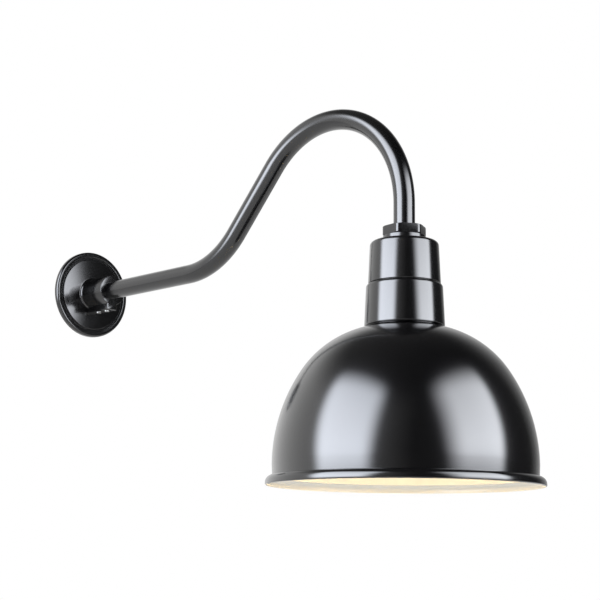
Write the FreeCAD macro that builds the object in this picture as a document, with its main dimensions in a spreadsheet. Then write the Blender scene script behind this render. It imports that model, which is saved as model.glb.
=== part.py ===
import FreeCAD, Part
import math
import os
import Sketcher
from FreeCAD import Placement, Rotation, Vector

# Gooseneck wall light: a steel strap on the outlet box carries a bent tube arm, a cast
# flange slides along the tube and covers the box, and a cast neck on the tube's
# lower end carries the lampholder and the spun dome shade.
#
# Frame, in millimetres: the origin is the centre of the strap's back face, which lies in
# the wall plane y = 0. The arm runs out along -y, z is up and the arm lies in x = 0.

doc = FreeCAD.newDocument("gooseneck_wall_light")
sheet = doc.addObject("Spreadsheet::Sheet", "Sizes")

# ---------------------------------------------------------------- driving dimensions

DRIVING = (
    # arm tube, bent in one plane
    ("tube_od", 25.4, "outside of the arm tube"),
    ("tube_wall", 2.1, "wall of the arm tube"),
    ("tail_run", 12.0, "tube behind the wall plane"),
    ("wall_run", 226.9, "straight run from the wall to the first bend"),
    ("rise_angle", 47.4, "turn of the first bend, in degrees"),
    ("bend_radius", 129.0, "centre line radius of both bends"),
    ("slope_run", 103.4, "straight run between the bends"),
    ("drop_run", 62.0, "straight run from the second bend to the tube's lower end"),
    # fits
    ("run_gap", 0.06, "radial clearance of a thread or a sliding bore"),
    ("seat_gap", 0.1, "gap between two seated faces"),
    # strap on the outlet box
    ("strap_end", 4.5, "strap beyond the axes of the box screws"),
    ("box_hole_d", 6.5, "clearance holes of the strap for the box screws"),
    ("strap_width", 28.0, "width of the strap"),
    ("strap_thick", 2.5, "sheet of the strap"),
    ("strap_collar_d", 33.0, "outside of the strap's threaded collar"),
    ("strap_collar_rise", 2.6, "height of the collar in front of the strap"),
    ("box_spacing", 88.9, "distance between the two box screws"),
    ("box_screw_d", 4.1, "thread of the box and shade screws"),
    ("box_screw_reach", 13.5, "box screw behind the wall plane"),
    ("pan_head_d", 7.8, "head of the box and shade screws"),
    ("pan_head_rise", 2.4, "height of those heads"),
    ("ground_x", 29.0, "ground screw from the centre of the strap"),
    ("strap_nut_flats", 34.0, "width across the flats of the strap nut"),
    ("strap_nut_thick", 7.0, "height of the strap nut"),
    # wall flange
    ("flange_d", 126.0, "outside of the flange"),
    ("flange_room", 0.5, "gap between the strap's collar and the flange"),
    ("flange_plate", 2.6, "plate in front of the hollow back"),
    ("flange_round", 3.0, "rounded outer edge of the flange"),
    ("strap_room", 2.0, "gap between the strap's ends and the hollow back"),
    ("gasket_thick", 1.5, "gasket between the flange and the wall"),
    ("gasket_inset", 1.5, "gasket inside the flange's edge"),
    ("groove_inset", 9.1, "middle of the ring groove inside the flange's edge"),
    ("groove_width", 3.8, "width of that groove"),
    ("groove_depth", 2.4, "depth of that groove"),
    ("hub_d", 43.0, "outside of the flange's hub"),
    ("hub_front", 56.0, "front face of the hub in front of the wall"),
    ("hub_fillet", 3.0, "fillet between the hub and the face"),
    ("lug_width", 16.4, "width of the lug under the hub"),
    ("lug_drop", 28.7, "underside of the lug below the tube's axis"),
    ("set_screw_d", 8.0, "thread of the two set screws"),
    ("set_screw_proud", 1.5, "set screw standing out of the lug"),
    ("set_screw_rear", 23.9, "rear set screw in front of the wall"),
    ("set_screw_pitch", 19.5, "distance between the set screws"),
    ("hex_key", 4.0, "socket of the set screws, across the flats"),
    # lock nut on the arm's lower thread
    ("nut_flats", 44.2, "width across the flats of the lock nut"),
    ("nut_thick", 8.8, "height of the lock nut"),
    ("nut_chamfer", 1.1, "chamfer at the corners of both nuts"),
    ("nut_turn", 24.0, "turn of the lock nut, in degrees"),
    # cast neck
    ("thread_reach", 15.3, "lower end of the tube below the neck's shoulder"),
    ("neck_boss_d", 50.4, "round boss under the lock nut"),
    ("neck_boss_rise", 5.6, "height of that boss"),
    ("neck_top_d", 80.4, "top of the upper tier"),
    ("neck_step_d", 85.8, "bottom of the upper tier"),
    ("neck_step", 50.3, "step below the shoulder"),
    ("neck_tier_d", 88.0, "top of the lower tier"),
    ("neck_foot_d", 93.6, "bottom of the lower tier"),
    ("neck_height", 99.9, "height of the neck below its shoulder"),
    ("neck_wall", 3.1, "wall of the neck at its foot"),
    ("neck_roof", 4.0, "thickness of the neck's top"),
    ("neck_shoulder", 4.0, "rounded shoulder of the upper tier"),
    ("tier_shoulder", 2.0, "rounded shoulder of the lower tier"),
    ("tier_groove", 1.2, "undercut at the step"),
    ("step_wall", 2.1, "wall of the neck behind the undercut"),
    ("thread_boss_d", 38.0, "boss inside the neck round the thread"),
    ("thread_boss_drop", 16.0, "bottom of that boss below the shoulder"),
    ("collar_seat", 12.0, "depth of the shade's seat in the neck"),
    ("post_d", 9.2, "posts that carry the lampholder"),
    ("post_drop", 34.0, "bottom of the posts below the shoulder"),
    ("lug_reach", 9.0, "length of the neck's three screw lugs"),
    ("neck_lug_width", 12.0, "width of those lugs"),
    ("neck_lug_rise", 13.0, "height of those lugs"),
    # spun shade
    ("sheet_thick", 1.5, "sheet of the shade"),
    ("bowl_d", 303.1, "widest part of the bowl"),
    ("collar_show", 2.3, "collar that shows between the neck and the crown"),
    ("bowl_side_radius", 194.6, "side arc of the bowl"),
    ("bowl_crown_radius", 119.1, "crown arc of the bowl"),
    ("bowl_blend_angle", 33.3, "where the two arcs meet, in degrees"),
    ("corner_drop", 14.8, "inner corner of the rim below the widest level"),
    ("rim_d", 318.0, "outside of the rim"),
    ("rim_flare", 8.0, "rim standing out of the bowl's wall"),
    ("rim_hem", 0.8, "straight edge of the rim"),
    ("crown_fillet", 2.5, "fillet between the shade's collar and the crown"),
    ("shade_screw_inset", 5.7, "axes of the shade screws inside the neck's seat"),
    ("shade_ring_lip", 5.0, "top ring of the shade inside those axes"),
    ("shade_screw_length", 11.0, "length of the shade screws"),
    # lampholder and lamp
    ("holder_edge", 4.8, "porcelain beyond the axes of its two screws"),
    ("porcelain_wall", 3.4, "wall of the porcelain collar round the screw shell"),
    ("holder_height", 60.0, "height of the porcelain"),
    ("holder_collar_rise", 24.0, "height of the collar"),
    ("holder_round", 3.0, "rounded edges of the porcelain"),
    ("holder_head_gap", 0.3, "gap between those screws' heads and the collar"),
    ("holder_screw_d", 3.5, "thread of the lampholder's screws"),
    ("holder_head_d", 6.6, "head of the lampholder's screws"),
    ("holder_grip", 12.0, "length of those screws in the posts"),
    ("shell_d", 28.2, "outside of the screw shell"),
    ("shell_sheet", 0.5, "sheet of the screw shell"),
    ("shell_depth", 27.0, "screw shell above the porcelain's mouth"),
    ("shell_inset", 1.5, "lower edge of the shell inside the mouth"),
    ("wire_pocket_d", 14.0, "pocket for the leads in the porcelain's top"),
    ("wire_pocket_depth", 10.0, "depth of that pocket"),
    ("rivet_d", 3.0, "rivet of the centre contact"),
    ("lead_d", 3.0, "outside of a lead"),
    ("lead_spacing", 6.4, "distance between the two leads"),
    ("lead_stop", 3.0, "lead ends above the pocket's floor"),
    ("lead_clearance", 0.3, "gap between the leads and the bushings' bore"),
    ("bush_lip", 1.5, "lip of the bushings"),
    ("bush_depth", 9.0, "bushing inside the tube"),
    ("cap_gap", 0.5, "gap between the lamp's screw cap and the shell"),
    ("cap_height", 22.0, "height of the screw cap"),
    ("tip_d", 9.6, "contact of the lamp"),
    ("tip_rise", 1.5, "height of that contact"),
    ("insulator_rise", 3.2, "height of the lamp's insulator"),
    ("globe_d", 60.0, "widest part of the lamp"),
    ("glass_neck", 10.0, "straight neck of the lamp's glass"),
    ("lamp_length", 110.0, "length of the lamp"),
    ("glass_wall", 0.9, "glass of the lamp"),
)


class Size:
    """A size known twice: its value, and the spreadsheet formula that gives it."""

    def __init__(self, value, text):
        self.value = value
        self.text = text

    def __add__(self, other):
        return combine(self, "+", other, lambda a, b: a + b)

    def __radd__(self, other):
        return combine(other, "+", self, lambda a, b: a + b)

    def __sub__(self, other):
        return combine(self, "-", other, lambda a, b: a - b)

    def __rsub__(self, other):
        return combine(other, "-", self, lambda a, b: a - b)

    def __mul__(self, other):
        return combine(self, "*", other, lambda a, b: a * b)

    def __rmul__(self, other):
        return combine(other, "*", self, lambda a, b: a * b)

    def __truediv__(self, other):
        return combine(self, "/", other, lambda a, b: a / b)

    def __neg__(self):
        return Size(-self.value, "(0 - %s)" % self.text)


def as_size(number):
    return number if isinstance(number, Size) else Size(float(number), repr(float(number)))


def combine(left, sign, right, work):
    left, right = as_size(left), as_size(right)
    return Size(work(left.value, right.value), "(%s %s %s)" % (left.text, sign, right.text))


def sine(angle):
    return Size(math.sin(math.radians(angle.value)), "sin(%s * 1 deg)" % angle.text)


def cosine(angle):
    return Size(math.cos(math.radians(angle.value)), "cos(%s * 1 deg)" % angle.text)


def root(square):
    return Size(math.sqrt(square.value), "sqrt(%s)" % square.text)


def smaller(left, right):
    return Size(min(left.value, right.value), "min(%s; %s)" % (left.text, right.text))


size = {}
for row, (name, value, meaning) in enumerate(DRIVING, start=1):
    sheet.set("A%d" % row, meaning)
    sheet.set("B%d" % row, str(value))
    sheet.setAlias("B%d" % row, name)
    size[name] = Size(value, "Sizes." + name)
doc.recompute()

# ---------------------------------------------------------------- making of the pieces


def bind(thing, prop, amount):
    """Ties a property of a document object to the spreadsheet."""
    thing.setExpression(prop, as_size(amount).text)


def place(thing, x=0.0, y=0.0, z=0.0, turn=None):
    """Puts a piece at its place in the frame, and turns it first."""
    spot = Vector(as_size(x).value, as_size(y).value, as_size(z).value)
    thing.Placement = Placement(spot, turn or Rotation())
    for axis, amount in (("x", x), ("y", y), ("z", z)):
        if isinstance(amount, Size):
            bind(thing, "Placement.Base." + axis, amount)


def new_body(label):
    body = doc.addObject("PartDesign::Body", label)
    body.Label = label
    return body


def new_sketch(body, name, plane, offset=None):
    """A sketch on one of the body's own origin planes, moved along the plane's normal."""
    sketch = body.newObject("Sketcher::SketchObject", name)
    base = [f for f in body.Origin.OriginFeatures if f.Role == plane][0]
    sketch.AttachmentSupport = [(base, "")]
    sketch.MapMode = "FlatFace"
    if offset is not None:
        sketch.AttachmentOffset = Placement(Vector(0, 0, as_size(offset).value), Rotation())
        bind(sketch, "AttachmentOffset.Base.z", offset)
    return sketch


def tie_point(sketch, shape, end, x, y):
    """Fixes one end of a line or arc at x, y from the sketch's origin."""
    for kind, amount in (("DistanceX", as_size(x)), ("DistanceY", as_size(y))):
        index = sketch.addConstraint(Sketcher.Constraint(kind, -1, 1, shape, end, amount.value))
        sketch.setExpression("Constraints[%d]" % index, amount.text)


def tie_radius(sketch, shape, radius):
    radius = as_size(radius)
    index = sketch.addConstraint(Sketcher.Constraint("Radius", shape, radius.value))
    sketch.setExpression("Constraints[%d]" % index, radius.text)


def circle(sketch, x, y, radius):
    x, y, radius = as_size(x), as_size(y), as_size(radius)
    centre = Vector(x.value, y.value, 0)
    shape = sketch.addGeometry(Part.Circle(centre, Vector(0, 0, 1), radius.value))
    tie_point(sketch, shape, 3, x, y)
    tie_radius(sketch, shape, radius)


def arc_between(start, end, radius, left):
    """The short arc from start to end whose centre is to the left or right of the way."""
    across = end - start
    half = across.Length / 2
    rise = math.sqrt(max(radius ** 2 - half ** 2, 0.0))
    side = Vector(-across.y, across.x, 0).normalize() * (1 if left else -1)
    centre = (start + end) / 2 + side * rise
    middle = centre - side * radius
    return Part.Arc(start, middle, end)


def outline(sketch, corners, closed=True):
    """Lines and arcs through the corners.

    A corner is (x, y), and (x, y, radius, left) makes the way to the next corner an arc.
    """
    spots = [Vector(as_size(c[0]).value, as_size(c[1]).value, 0) for c in corners]
    count = len(corners) if closed else len(corners) - 1
    shapes = []
    for i in range(count):
        start, end = spots[i], spots[(i + 1) % len(spots)]
        if len(corners[i]) == 2:
            shapes.append(sketch.addGeometry(Part.LineSegment(start, end)))
            continue
        bow = as_size(corners[i][2])
        shapes.append(sketch.addGeometry(arc_between(start, end, bow.value, corners[i][3])))
    ends = []
    for i, shape in enumerate(shapes):
        first = sketch.getPoint(shape, 1)
        straight = (first - spots[i]).Length < (first - spots[(i + 1) % len(spots)]).Length
        ends.append((1, 2) if straight else (2, 1))
    for i, shape in enumerate(shapes):
        tie_point(sketch, shape, ends[i][0], corners[i][0], corners[i][1])
        if closed or i + 1 < count:
            after = (i + 1) % len(shapes)
            joint = Sketcher.Constraint("Coincident", shape, ends[i][1], shapes[after], ends[after][0])
            sketch.addConstraint(joint)
        if len(corners[i]) == 4:
            tie_radius(sketch, shape, corners[i][2])
    if not closed:
        tie_point(sketch, shapes[-1], ends[-1][1], corners[-1][0], corners[-1][1])


def rectangle(sketch, x0, y0, x1, y1):
    outline(sketch, [(x0, y0), (x1, y0), (x1, y1), (x0, y1)])


def revolve(body, name, corners):
    """A full turn of a profile in the xz plane round the body's z axis."""
    sketch = new_sketch(body, name + "_profile", "XZ_Plane")
    outline(sketch, corners)
    turned = body.newObject("PartDesign::Revolution", name)
    turned.Profile = sketch
    turned.ReferenceAxis = (sketch, ["V_Axis"])
    turned.Angle = 360.0
    return turned


def pad(body, name, sketch, length, reverse=False, both_ways=False):
    grown = body.newObject("PartDesign::Pad", name)
    grown.Profile = sketch
    bind(grown, "Length", length)
    grown.Reversed = reverse
    grown.Midplane = both_ways
    return grown


def pocket(body, name, sketch, length, reverse=False, both_ways=False):
    cut = body.newObject("PartDesign::Pocket", name)
    cut.Profile = sketch
    bind(cut, "Length", length)
    cut.Reversed = reverse
    cut.Midplane = both_ways
    return cut


def round_rings(body, name, radius, *rings):
    """Fillets the circular edges at each (radius, height) of the body's last shape."""
    doc.recompute()
    base = body.Tip
    chosen = []
    for index, edge in enumerate(base.Shape.Edges, start=1):
        if not isinstance(edge.Curve, Part.Circle):
            continue
        spot = edge.Curve.Center
        for ring_radius, ring_height in rings:
            same_size = abs(edge.Curve.Radius - as_size(ring_radius).value) < 1e-4
            if same_size and abs(spot.z - as_size(ring_height).value) < 1e-4:
                chosen.append("Edge%d" % index)
    fillet = body.newObject("PartDesign::Fillet", name)
    fillet.Base = (base, chosen)
    bind(fillet, "Radius", radius)
    return fillet


def polar(body, name, feature, count):
    """Repeats a feature round the body's z axis."""
    axis = [f for f in body.Origin.OriginFeatures if f.Role == "Z_Axis"][0]
    ring = body.newObject("PartDesign::PolarPattern", name)
    ring.Originals = [feature]
    ring.Axis = (axis, [""])
    ring.Angle = 360.0
    ring.Occurrences = count
    body.Tip = ring
    return ring


def screw(label, head_d, head_rise, thread_d, length):
    """A plain screw: its head's underside is at z = 0 and its thread runs up along +z."""
    head = doc.addObject("Part::Cylinder", label + "_head")
    bind(head, "Radius", head_d / 2)
    bind(head, "Height", head_rise)
    bind(head, "Placement.Base.z", -head_rise)
    shank = doc.addObject("Part::Cylinder", label + "_shank")
    bind(shank, "Radius", thread_d / 2)
    bind(shank, "Height", length)
    whole = doc.addObject("Part::Fuse", label)
    whole.Base = head
    whole.Tool = shank
    whole.Label = label
    return whole


def group(label, members):
    gathered = doc.addObject("Part::Compound", label)
    gathered.Links = members
    gathered.Label = label
    return gathered


def hex_nut(label, flats, thick, bore):
    """A hexagon nut with chamfered corners; its lower face is at z = 0."""
    body = new_body(label)
    corner = flats / math.sqrt(3.0)
    face = new_sketch(body, label + "_hexagon", "XY_Plane")
    corners = []
    for k in range(6):
        angle = math.radians(60 * k)
        corners.append((corner * math.cos(angle), corner * math.sin(angle)))
    outline(face, corners)
    circle(face, 0, 0, bore)
    pad(body, label + "_block", face, thick)
    drop = size["nut_chamfer"]
    spread = drop * 2.0
    over = corner + drop
    for level, way in ((thick, -1.0), (as_size(0.0), 1.0)):
        edge = new_sketch(body, label + ("_top" if way < 0 else "_base"), "XZ_Plane")
        outline(edge, [(corner - spread, level), (over, level), (over, level + drop * way * (over - corner + spread) / spread)])
        groove = body.newObject("PartDesign::Groove", label + ("_top_chamfer" if way < 0 else "_base_chamfer"))
        groove.Profile = edge
        groove.ReferenceAxis = (edge, ["V_Axis"])
        groove.Angle = 360.0
    return body


# ---------------------------------------------------------------- shared places

tube_r = size["tube_od"] / 2
bore_r = tube_r + size["run_gap"]
rise_sine = sine(size["rise_angle"])
rise_cosine = cosine(size["rise_angle"])
bend = size["bend_radius"]

# centre line of the arm, as distance from the wall and height
first_bend_out = size["wall_run"] + bend * rise_sine
first_bend_up = bend * (1.0 - rise_cosine)
slope_out = first_bend_out + size["slope_run"] * rise_cosine
slope_up = first_bend_up + size["slope_run"] * rise_sine
reach = slope_out + bend * rise_sine + bend
drop_top = slope_up - bend * rise_cosine
tube_end = drop_top - size["drop_run"]

neck_shoulder_z = tube_end + size["thread_reach"]
boss_top_z = neck_shoulder_z + size["neck_boss_rise"]
holder_top_z = neck_shoulder_z - size["post_drop"] - size["seat_gap"]
mouth_z = holder_top_z - size["holder_height"]
pocket_floor_z = holder_top_z - size["wire_pocket_depth"]

# the lampholder's screws stand beside its collar, which goes round the screw shell
cavity_r = size["shell_d"] / 2 + size["seat_gap"]
holder_collar_r = cavity_r + size["porcelain_wall"]
holder_screw_x = holder_collar_r + size["holder_head_gap"] + size["holder_head_d"] / 2
holder_r = holder_screw_x + size["holder_edge"]

# the shade's collar plugs into a seat in the neck's foot, and the screws stand inside it
foot_r = size["neck_foot_d"] / 2
seat_r = foot_r - size["neck_wall"]
shade_screw_r = seat_r - size["shade_screw_inset"]
ring_r = shade_screw_r - size["shade_ring_lip"]

# local z of a piece on the arm's wall run points away from the wall, and local y is up
OUT_OF_WALL = Rotation(Vector(1, 0, 0), 90)
INTO_WALL = Rotation(Vector(1, 0, 0), -90)

parts = []


def keep(thing):
    parts.append(thing)
    return thing


# ---------------------------------------------------------------- strap and its screws

# The strap is a pressed steel bar with a threaded collar for the arm; two holes take
# the box screws and a tapped one takes the ground screw.
strap = keep(new_body("mounting_strap"))
place(strap, turn=OUT_OF_WALL)
bar = new_sketch(strap, "bar", "XY_Plane")
half_bar = size["box_spacing"] / 2 + size["strap_end"]
half_width = size["strap_width"] / 2
bar_end = half_bar - half_width
outline(bar, [
    (-bar_end, -half_width),
    (bar_end, -half_width, half_width, True),
    (half_bar, 0.0, half_width, True),
    (bar_end, half_width),
    (-bar_end, half_width, half_width, True),
    (-half_bar, 0.0, half_width, True),
])
pad(strap, "strap_sheet", bar, size["strap_thick"])
ring = new_sketch(strap, "collar", "XY_Plane")
circle(ring, 0, 0, size["strap_collar_d"] / 2)
pad(strap, "strap_collar", ring, size["strap_thick"] + size["strap_collar_rise"])
holes = new_sketch(strap, "holes", "XY_Plane")
circle(holes, 0, 0, bore_r)
for side in (-1.0, 1.0):
    circle(holes, size["box_spacing"] / 2 * side, 0, size["box_hole_d"] / 2)
circle(holes, size["ground_x"], 0, size["box_screw_d"] / 2 + size["seat_gap"])
pocket(strap, "strap_holes", holes, half_bar, both_ways=True)

box_screws = []
for side in (-1.0, 1.0):
    one = screw("box_screw_%s" % ("left" if side < 0 else "right"), size["pan_head_d"],
                size["pan_head_rise"], size["box_screw_d"],
                size["strap_thick"] + size["seat_gap"] + size["box_screw_reach"])
    place(one, size["box_spacing"] / 2 * side, -size["strap_thick"] - size["seat_gap"], 0.0, INTO_WALL)
    box_screws.append(one)
keep(group("strap_screws", box_screws))

ground = keep(screw("ground_screw", size["pan_head_d"], size["pan_head_rise"], size["box_screw_d"],
                    size["strap_thick"] + size["box_screw_reach"] / 2))
place(ground, size["ground_x"], -size["strap_thick"] - size["seat_gap"], 0.0, INTO_WALL)

strap_nut = keep(hex_nut("strap_nut", size["strap_nut_flats"], size["strap_nut_thick"], bore_r))
place(strap_nut, y=size["seat_gap"], turn=INTO_WALL)

# ---------------------------------------------------------------- arm and its leads


def arm_route(sketch, tail, end):
    """The arm's centre line: from tail behind the wall plane to the height end."""
    outline(sketch, [
        (0.0, 0.0),
        (-(tail + size["wall_run"]), 0.0, bend, False),
        (-(tail + first_bend_out), first_bend_up),
        (-(tail + slope_out), slope_up, bend, True),
        (-(tail + slope_out + bend * rise_sine), slope_up + bend * (1.0 - rise_cosine), bend, True),
        (-(tail + reach), drop_top),
        (-(tail + reach), end),
    ], closed=False)


def swept(label, tail, end, radii):
    """A round or tubular piece that follows the arm's centre line."""
    body = new_body(label)
    place(body, y=tail)
    route = new_sketch(body, label + "_route", "YZ_Plane")
    arm_route(route, tail, end)
    section = new_sketch(body, label + "_section", "XZ_Plane")
    for radius in radii:
        circle(section, 0, 0, radius)
    doc.recompute()
    pipe = body.newObject("PartDesign::AdditivePipe", label + "_pipe")
    pipe.Profile = section
    pipe.Spine = (route, ["Edge%d" % (k + 1) for k in range(len(route.Shape.Edges))])
    return body


arm = keep(swept("gooseneck_arm", size["tail_run"], tube_end, [tube_r, tube_r - size["tube_wall"]]))


def bushing(label):
    """Insulating bushing: its lip covers the tube's end and its sleeve sits inside."""
    body = new_body(label)
    sleeve = tube_r - size["tube_wall"] - size["run_gap"]
    bore = (size["lead_spacing"] + size["lead_d"]) / 2 + size["lead_clearance"]
    lip = tube_r - size["run_gap"] * 5
    revolve(body, label + "_turned", [
        (bore, -size["bush_lip"]),
        (lip, -size["bush_lip"]),
        (lip, 0.0),
        (sleeve, 0.0),
        (sleeve, size["bush_depth"]),
        (bore, size["bush_depth"]),
    ])
    return body


wall_bush = keep(bushing("wall_bushing"))
place(wall_bush, y=size["tail_run"] + size["seat_gap"], turn=OUT_OF_WALL)
lamp_bush = keep(bushing("lamp_bushing"))
place(lamp_bush, y=-reach, z=tube_end - size["seat_gap"])

# Two insulated leads lie side by side in the tube, from the wall bushing's lip to the
# pocket in the lampholder's top.
lead_tail = size["tail_run"] + size["seat_gap"] + size["bush_lip"]
lead_end = pocket_floor_z + size["lead_stop"]
for label, side in (("line_lead", 1.0), ("neutral_lead", -1.0)):
    lead = keep(swept(label, lead_tail, lead_end, [size["lead_d"] / 2]))
    place(lead, size["lead_spacing"] / 2 * side, lead_tail)

# ---------------------------------------------------------------- wall flange

# The flange is one casting: a rimmed disc with a ring groove in its face, a hollow back
# over the strap, and a long hub with a lug under it for the two set screws.
flange = keep(new_body("wall_flange"))
place(flange, turn=OUT_OF_WALL)
flange_r = size["flange_d"] / 2
recess_r = half_bar + size["strap_room"]
hub_r = size["hub_d"] / 2
hollow = size["strap_thick"] + size["strap_collar_rise"] + size["flange_room"]
face = hollow + size["flange_plate"]
groove_r = flange_r - size["groove_inset"]
groove_in = groove_r - size["groove_width"] / 2
groove_out = groove_r + size["groove_width"] / 2
groove_floor = face - size["groove_depth"]
gasket_r = flange_r - size["gasket_inset"]
revolve(flange, "flange_disc", [
    (bore_r, hollow),
    (recess_r, hollow),
    (recess_r, size["gasket_thick"]),
    (flange_r, size["gasket_thick"]),
    (flange_r, face),
    (groove_out, face),
    (groove_out, groove_floor),
    (groove_in, groove_floor),
    (groove_in, face),
    (hub_r, face),
    (hub_r, size["hub_front"]),
    (bore_r, size["hub_front"]),
])
round_rings(flange, "outer_edge", size["flange_round"], (flange_r, face))
round_rings(flange, "groove_edges", size["groove_depth"] / 3, (groove_out, face), (groove_in, face))
round_rings(flange, "hub_root", size["hub_fillet"], (hub_r, face))
round_rings(flange, "hub_nose", size["flange_round"] / 5, (hub_r, size["hub_front"]))
lug = new_sketch(flange, "lug", "XY_Plane", hollow)
half_lug = size["lug_width"] / 2
rectangle(lug, -half_lug, -size["lug_drop"], half_lug, -(bore_r + hub_r) / 2)
pad(flange, "lug_block", lug, size["hub_front"] - hollow)
screws_seat = new_sketch(flange, "set_screw_holes", "XZ_Plane")
for out in (size["set_screw_rear"], size["set_screw_rear"] + size["set_screw_pitch"]):
    circle(screws_seat, 0, out, size["set_screw_d"] / 2 + size["run_gap"])
pocket(flange, "set_screw_threads", screws_seat, size["lug_drop"] + size["hub_fillet"], reverse=True)

gasket = keep(new_body("flange_gasket"))
place(gasket, turn=OUT_OF_WALL)
revolve(gasket, "gasket_ring", [
    (recess_r + size["seat_gap"], 0.0),
    (gasket_r, 0.0),
    (gasket_r, size["gasket_thick"]),
    (recess_r + size["seat_gap"], size["gasket_thick"]),
])


def set_screw(label, out):
    """Headless screw from the tube's underside to just below the lug, with a hex socket."""
    length = size["lug_drop"] + size["set_screw_proud"] - bore_r
    rod = doc.addObject("Part::Cylinder", label + "_rod")
    bind(rod, "Radius", size["set_screw_d"] / 2)
    bind(rod, "Height", length)
    key = doc.addObject("Part::Prism", label + "_key")
    key.Polygon = 6
    bind(key, "Circumradius", size["hex_key"] / math.sqrt(3.0))
    bind(key, "Height", size["hex_key"])
    whole = doc.addObject("Part::Cut", label)
    whole.Base = rod
    whole.Tool = key
    whole.Label = label
    place(whole, 0.0, -out, -(size["lug_drop"] + size["set_screw_proud"]))
    return whole


keep(set_screw("set_screw_rear", size["set_screw_rear"]))
keep(set_screw("set_screw_front", size["set_screw_rear"] + size["set_screw_pitch"]))

# ---------------------------------------------------------------- lock nut

lock_nut = keep(hex_nut("lock_nut", size["nut_flats"], size["nut_thick"], bore_r))
place(lock_nut, y=-reach, z=boss_top_z + size["seat_gap"], turn=Rotation(Vector(0, 0, 1), size["nut_turn"].value))
bind(lock_nut, "Placement.Rotation.Angle", size["nut_turn"])

# ---------------------------------------------------------------- neck

# The neck is a cast cup in two tapered tiers with rounded shoulders. Its roof is
# threaded on the arm, two posts carry the lampholder, and three lugs take the shade.
neck = keep(new_body("neck"))
place(neck, y=-reach, z=neck_shoulder_z)
foot = -size["neck_height"]
ledge = foot + size["collar_seat"]
step_r = size["neck_step_d"] / 2
tier_r = size["neck_tier_d"] / 2
top_r = size["neck_top_d"] / 2
undercut_r = step_r - size["tier_groove"]
step_in_r = smaller(undercut_r, tier_r) - size["step_wall"]
roof = -size["neck_roof"]
thread_boss_r = size["thread_boss_d"] / 2
thread_end = -size["thread_boss_drop"]
cone_foot_r = seat_r - size["neck_wall"] * 0.7
cone_top_r = top_r - size["neck_wall"]
step_top = -size["neck_step"]
step_low = step_top - size["tier_groove"]
revolve(neck, "neck_cup", [
    (bore_r, size["neck_boss_rise"]),
    (size["neck_boss_d"] / 2, size["neck_boss_rise"]),
    (size["neck_boss_d"] / 2, 0.0),
    (top_r, 0.0),
    (step_r, step_top),
    (undercut_r, step_top),
    (undercut_r, step_low),
    (tier_r, step_low),
    (foot_r, foot),
    (seat_r, foot),
    (seat_r, ledge),
    (cone_foot_r, ledge),
    (step_in_r, step_low),
    (cone_top_r, roof),
    (thread_boss_r, roof),
    (thread_boss_r, thread_end),
    (bore_r, thread_end),
])
round_rings(neck, "upper_shoulder", size["neck_shoulder"], (top_r, 0.0))
round_rings(neck, "lower_shoulder", size["tier_shoulder"], (tier_r, step_low))
posts = new_sketch(neck, "posts", "XY_Plane", roof / 2)
for side in (-1.0, 1.0):
    circle(posts, holder_screw_x * side, 0, size["post_d"] / 2)
pad(neck, "lampholder_posts", posts, size["post_drop"] + roof / 2, reverse=True)
thread = new_sketch(neck, "thread", "XY_Plane")
circle(thread, 0, 0, bore_r)
pocket(neck, "thread_bore", thread, size["neck_height"] * 2, both_ways=True)
lug_outer = cone_foot_r + (foot_r - cone_foot_r) / 4
lug_inner = cone_foot_r - size["lug_reach"]
lug_plan = new_sketch(neck, "screw_lug", "XY_Plane", ledge)
rectangle(lug_plan, lug_inner, -size["neck_lug_width"] / 2, lug_outer, size["neck_lug_width"] / 2)
one_lug = pad(neck, "screw_lug_block", lug_plan, size["neck_lug_rise"])
polar(neck, "screw_lugs", one_lug, 3)
tap = new_sketch(neck, "lug_tap", "XY_Plane", ledge)
circle(tap, shade_screw_r, 0, size["box_screw_d"] / 2 + size["run_gap"])
one_tap = pocket(neck, "lug_hole", tap, size["neck_lug_rise"], reverse=True)
polar(neck, "lug_holes", one_tap, 3)
post_tap = new_sketch(neck, "post_tap", "XY_Plane", -size["post_drop"])
for side in (-1.0, 1.0):
    circle(post_tap, holder_screw_x * side, 0, size["holder_screw_d"] / 2 + size["run_gap"])
pocket(neck, "post_holes", post_tap, size["holder_grip"] + size["pan_head_rise"], reverse=True)

# ---------------------------------------------------------------- shade

# The shade is one spun sheet: a collar that plugs into the neck's foot, a crown arc and
# a side arc that blend, and a flared rim with a hemmed edge.
shade = keep(new_body("shade"))
sheet_t = size["sheet_thick"]
side_bow = size["bowl_side_radius"]
crown_bow = size["bowl_crown_radius"]
blend_cos = cosine(size["bowl_blend_angle"])
blend_sin = sine(size["bowl_blend_angle"])
bowl_r = size["bowl_d"] / 2
side_centre = bowl_r - side_bow
crown_centre_x = side_centre + (side_bow - crown_bow) * blend_cos
crown_centre_z = (side_bow - crown_bow) * blend_sin
collar_r = seat_r - size["seat_gap"]
collar_in = collar_r - sheet_t
rim_r = size["rim_d"] / 2
wall_out = rim_r - size["rim_flare"]

# the wall under the widest level leans in by the lean, and keeps the sheet's thickness
lean = bowl_r - wall_out
wall_length = root(lean * lean + size["corner_drop"] * size["corner_drop"])
wall_in = wall_out - sheet_t * (
    (1.0 + lean / wall_length) * lean / size["corner_drop"] + size["corner_drop"] / wall_length)


def on_crown(x, bow):
    """Height of the crown arc above the widest level, at x from the axis."""
    across = x - crown_centre_x
    return crown_centre_z + root(bow * bow - across * across)


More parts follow.
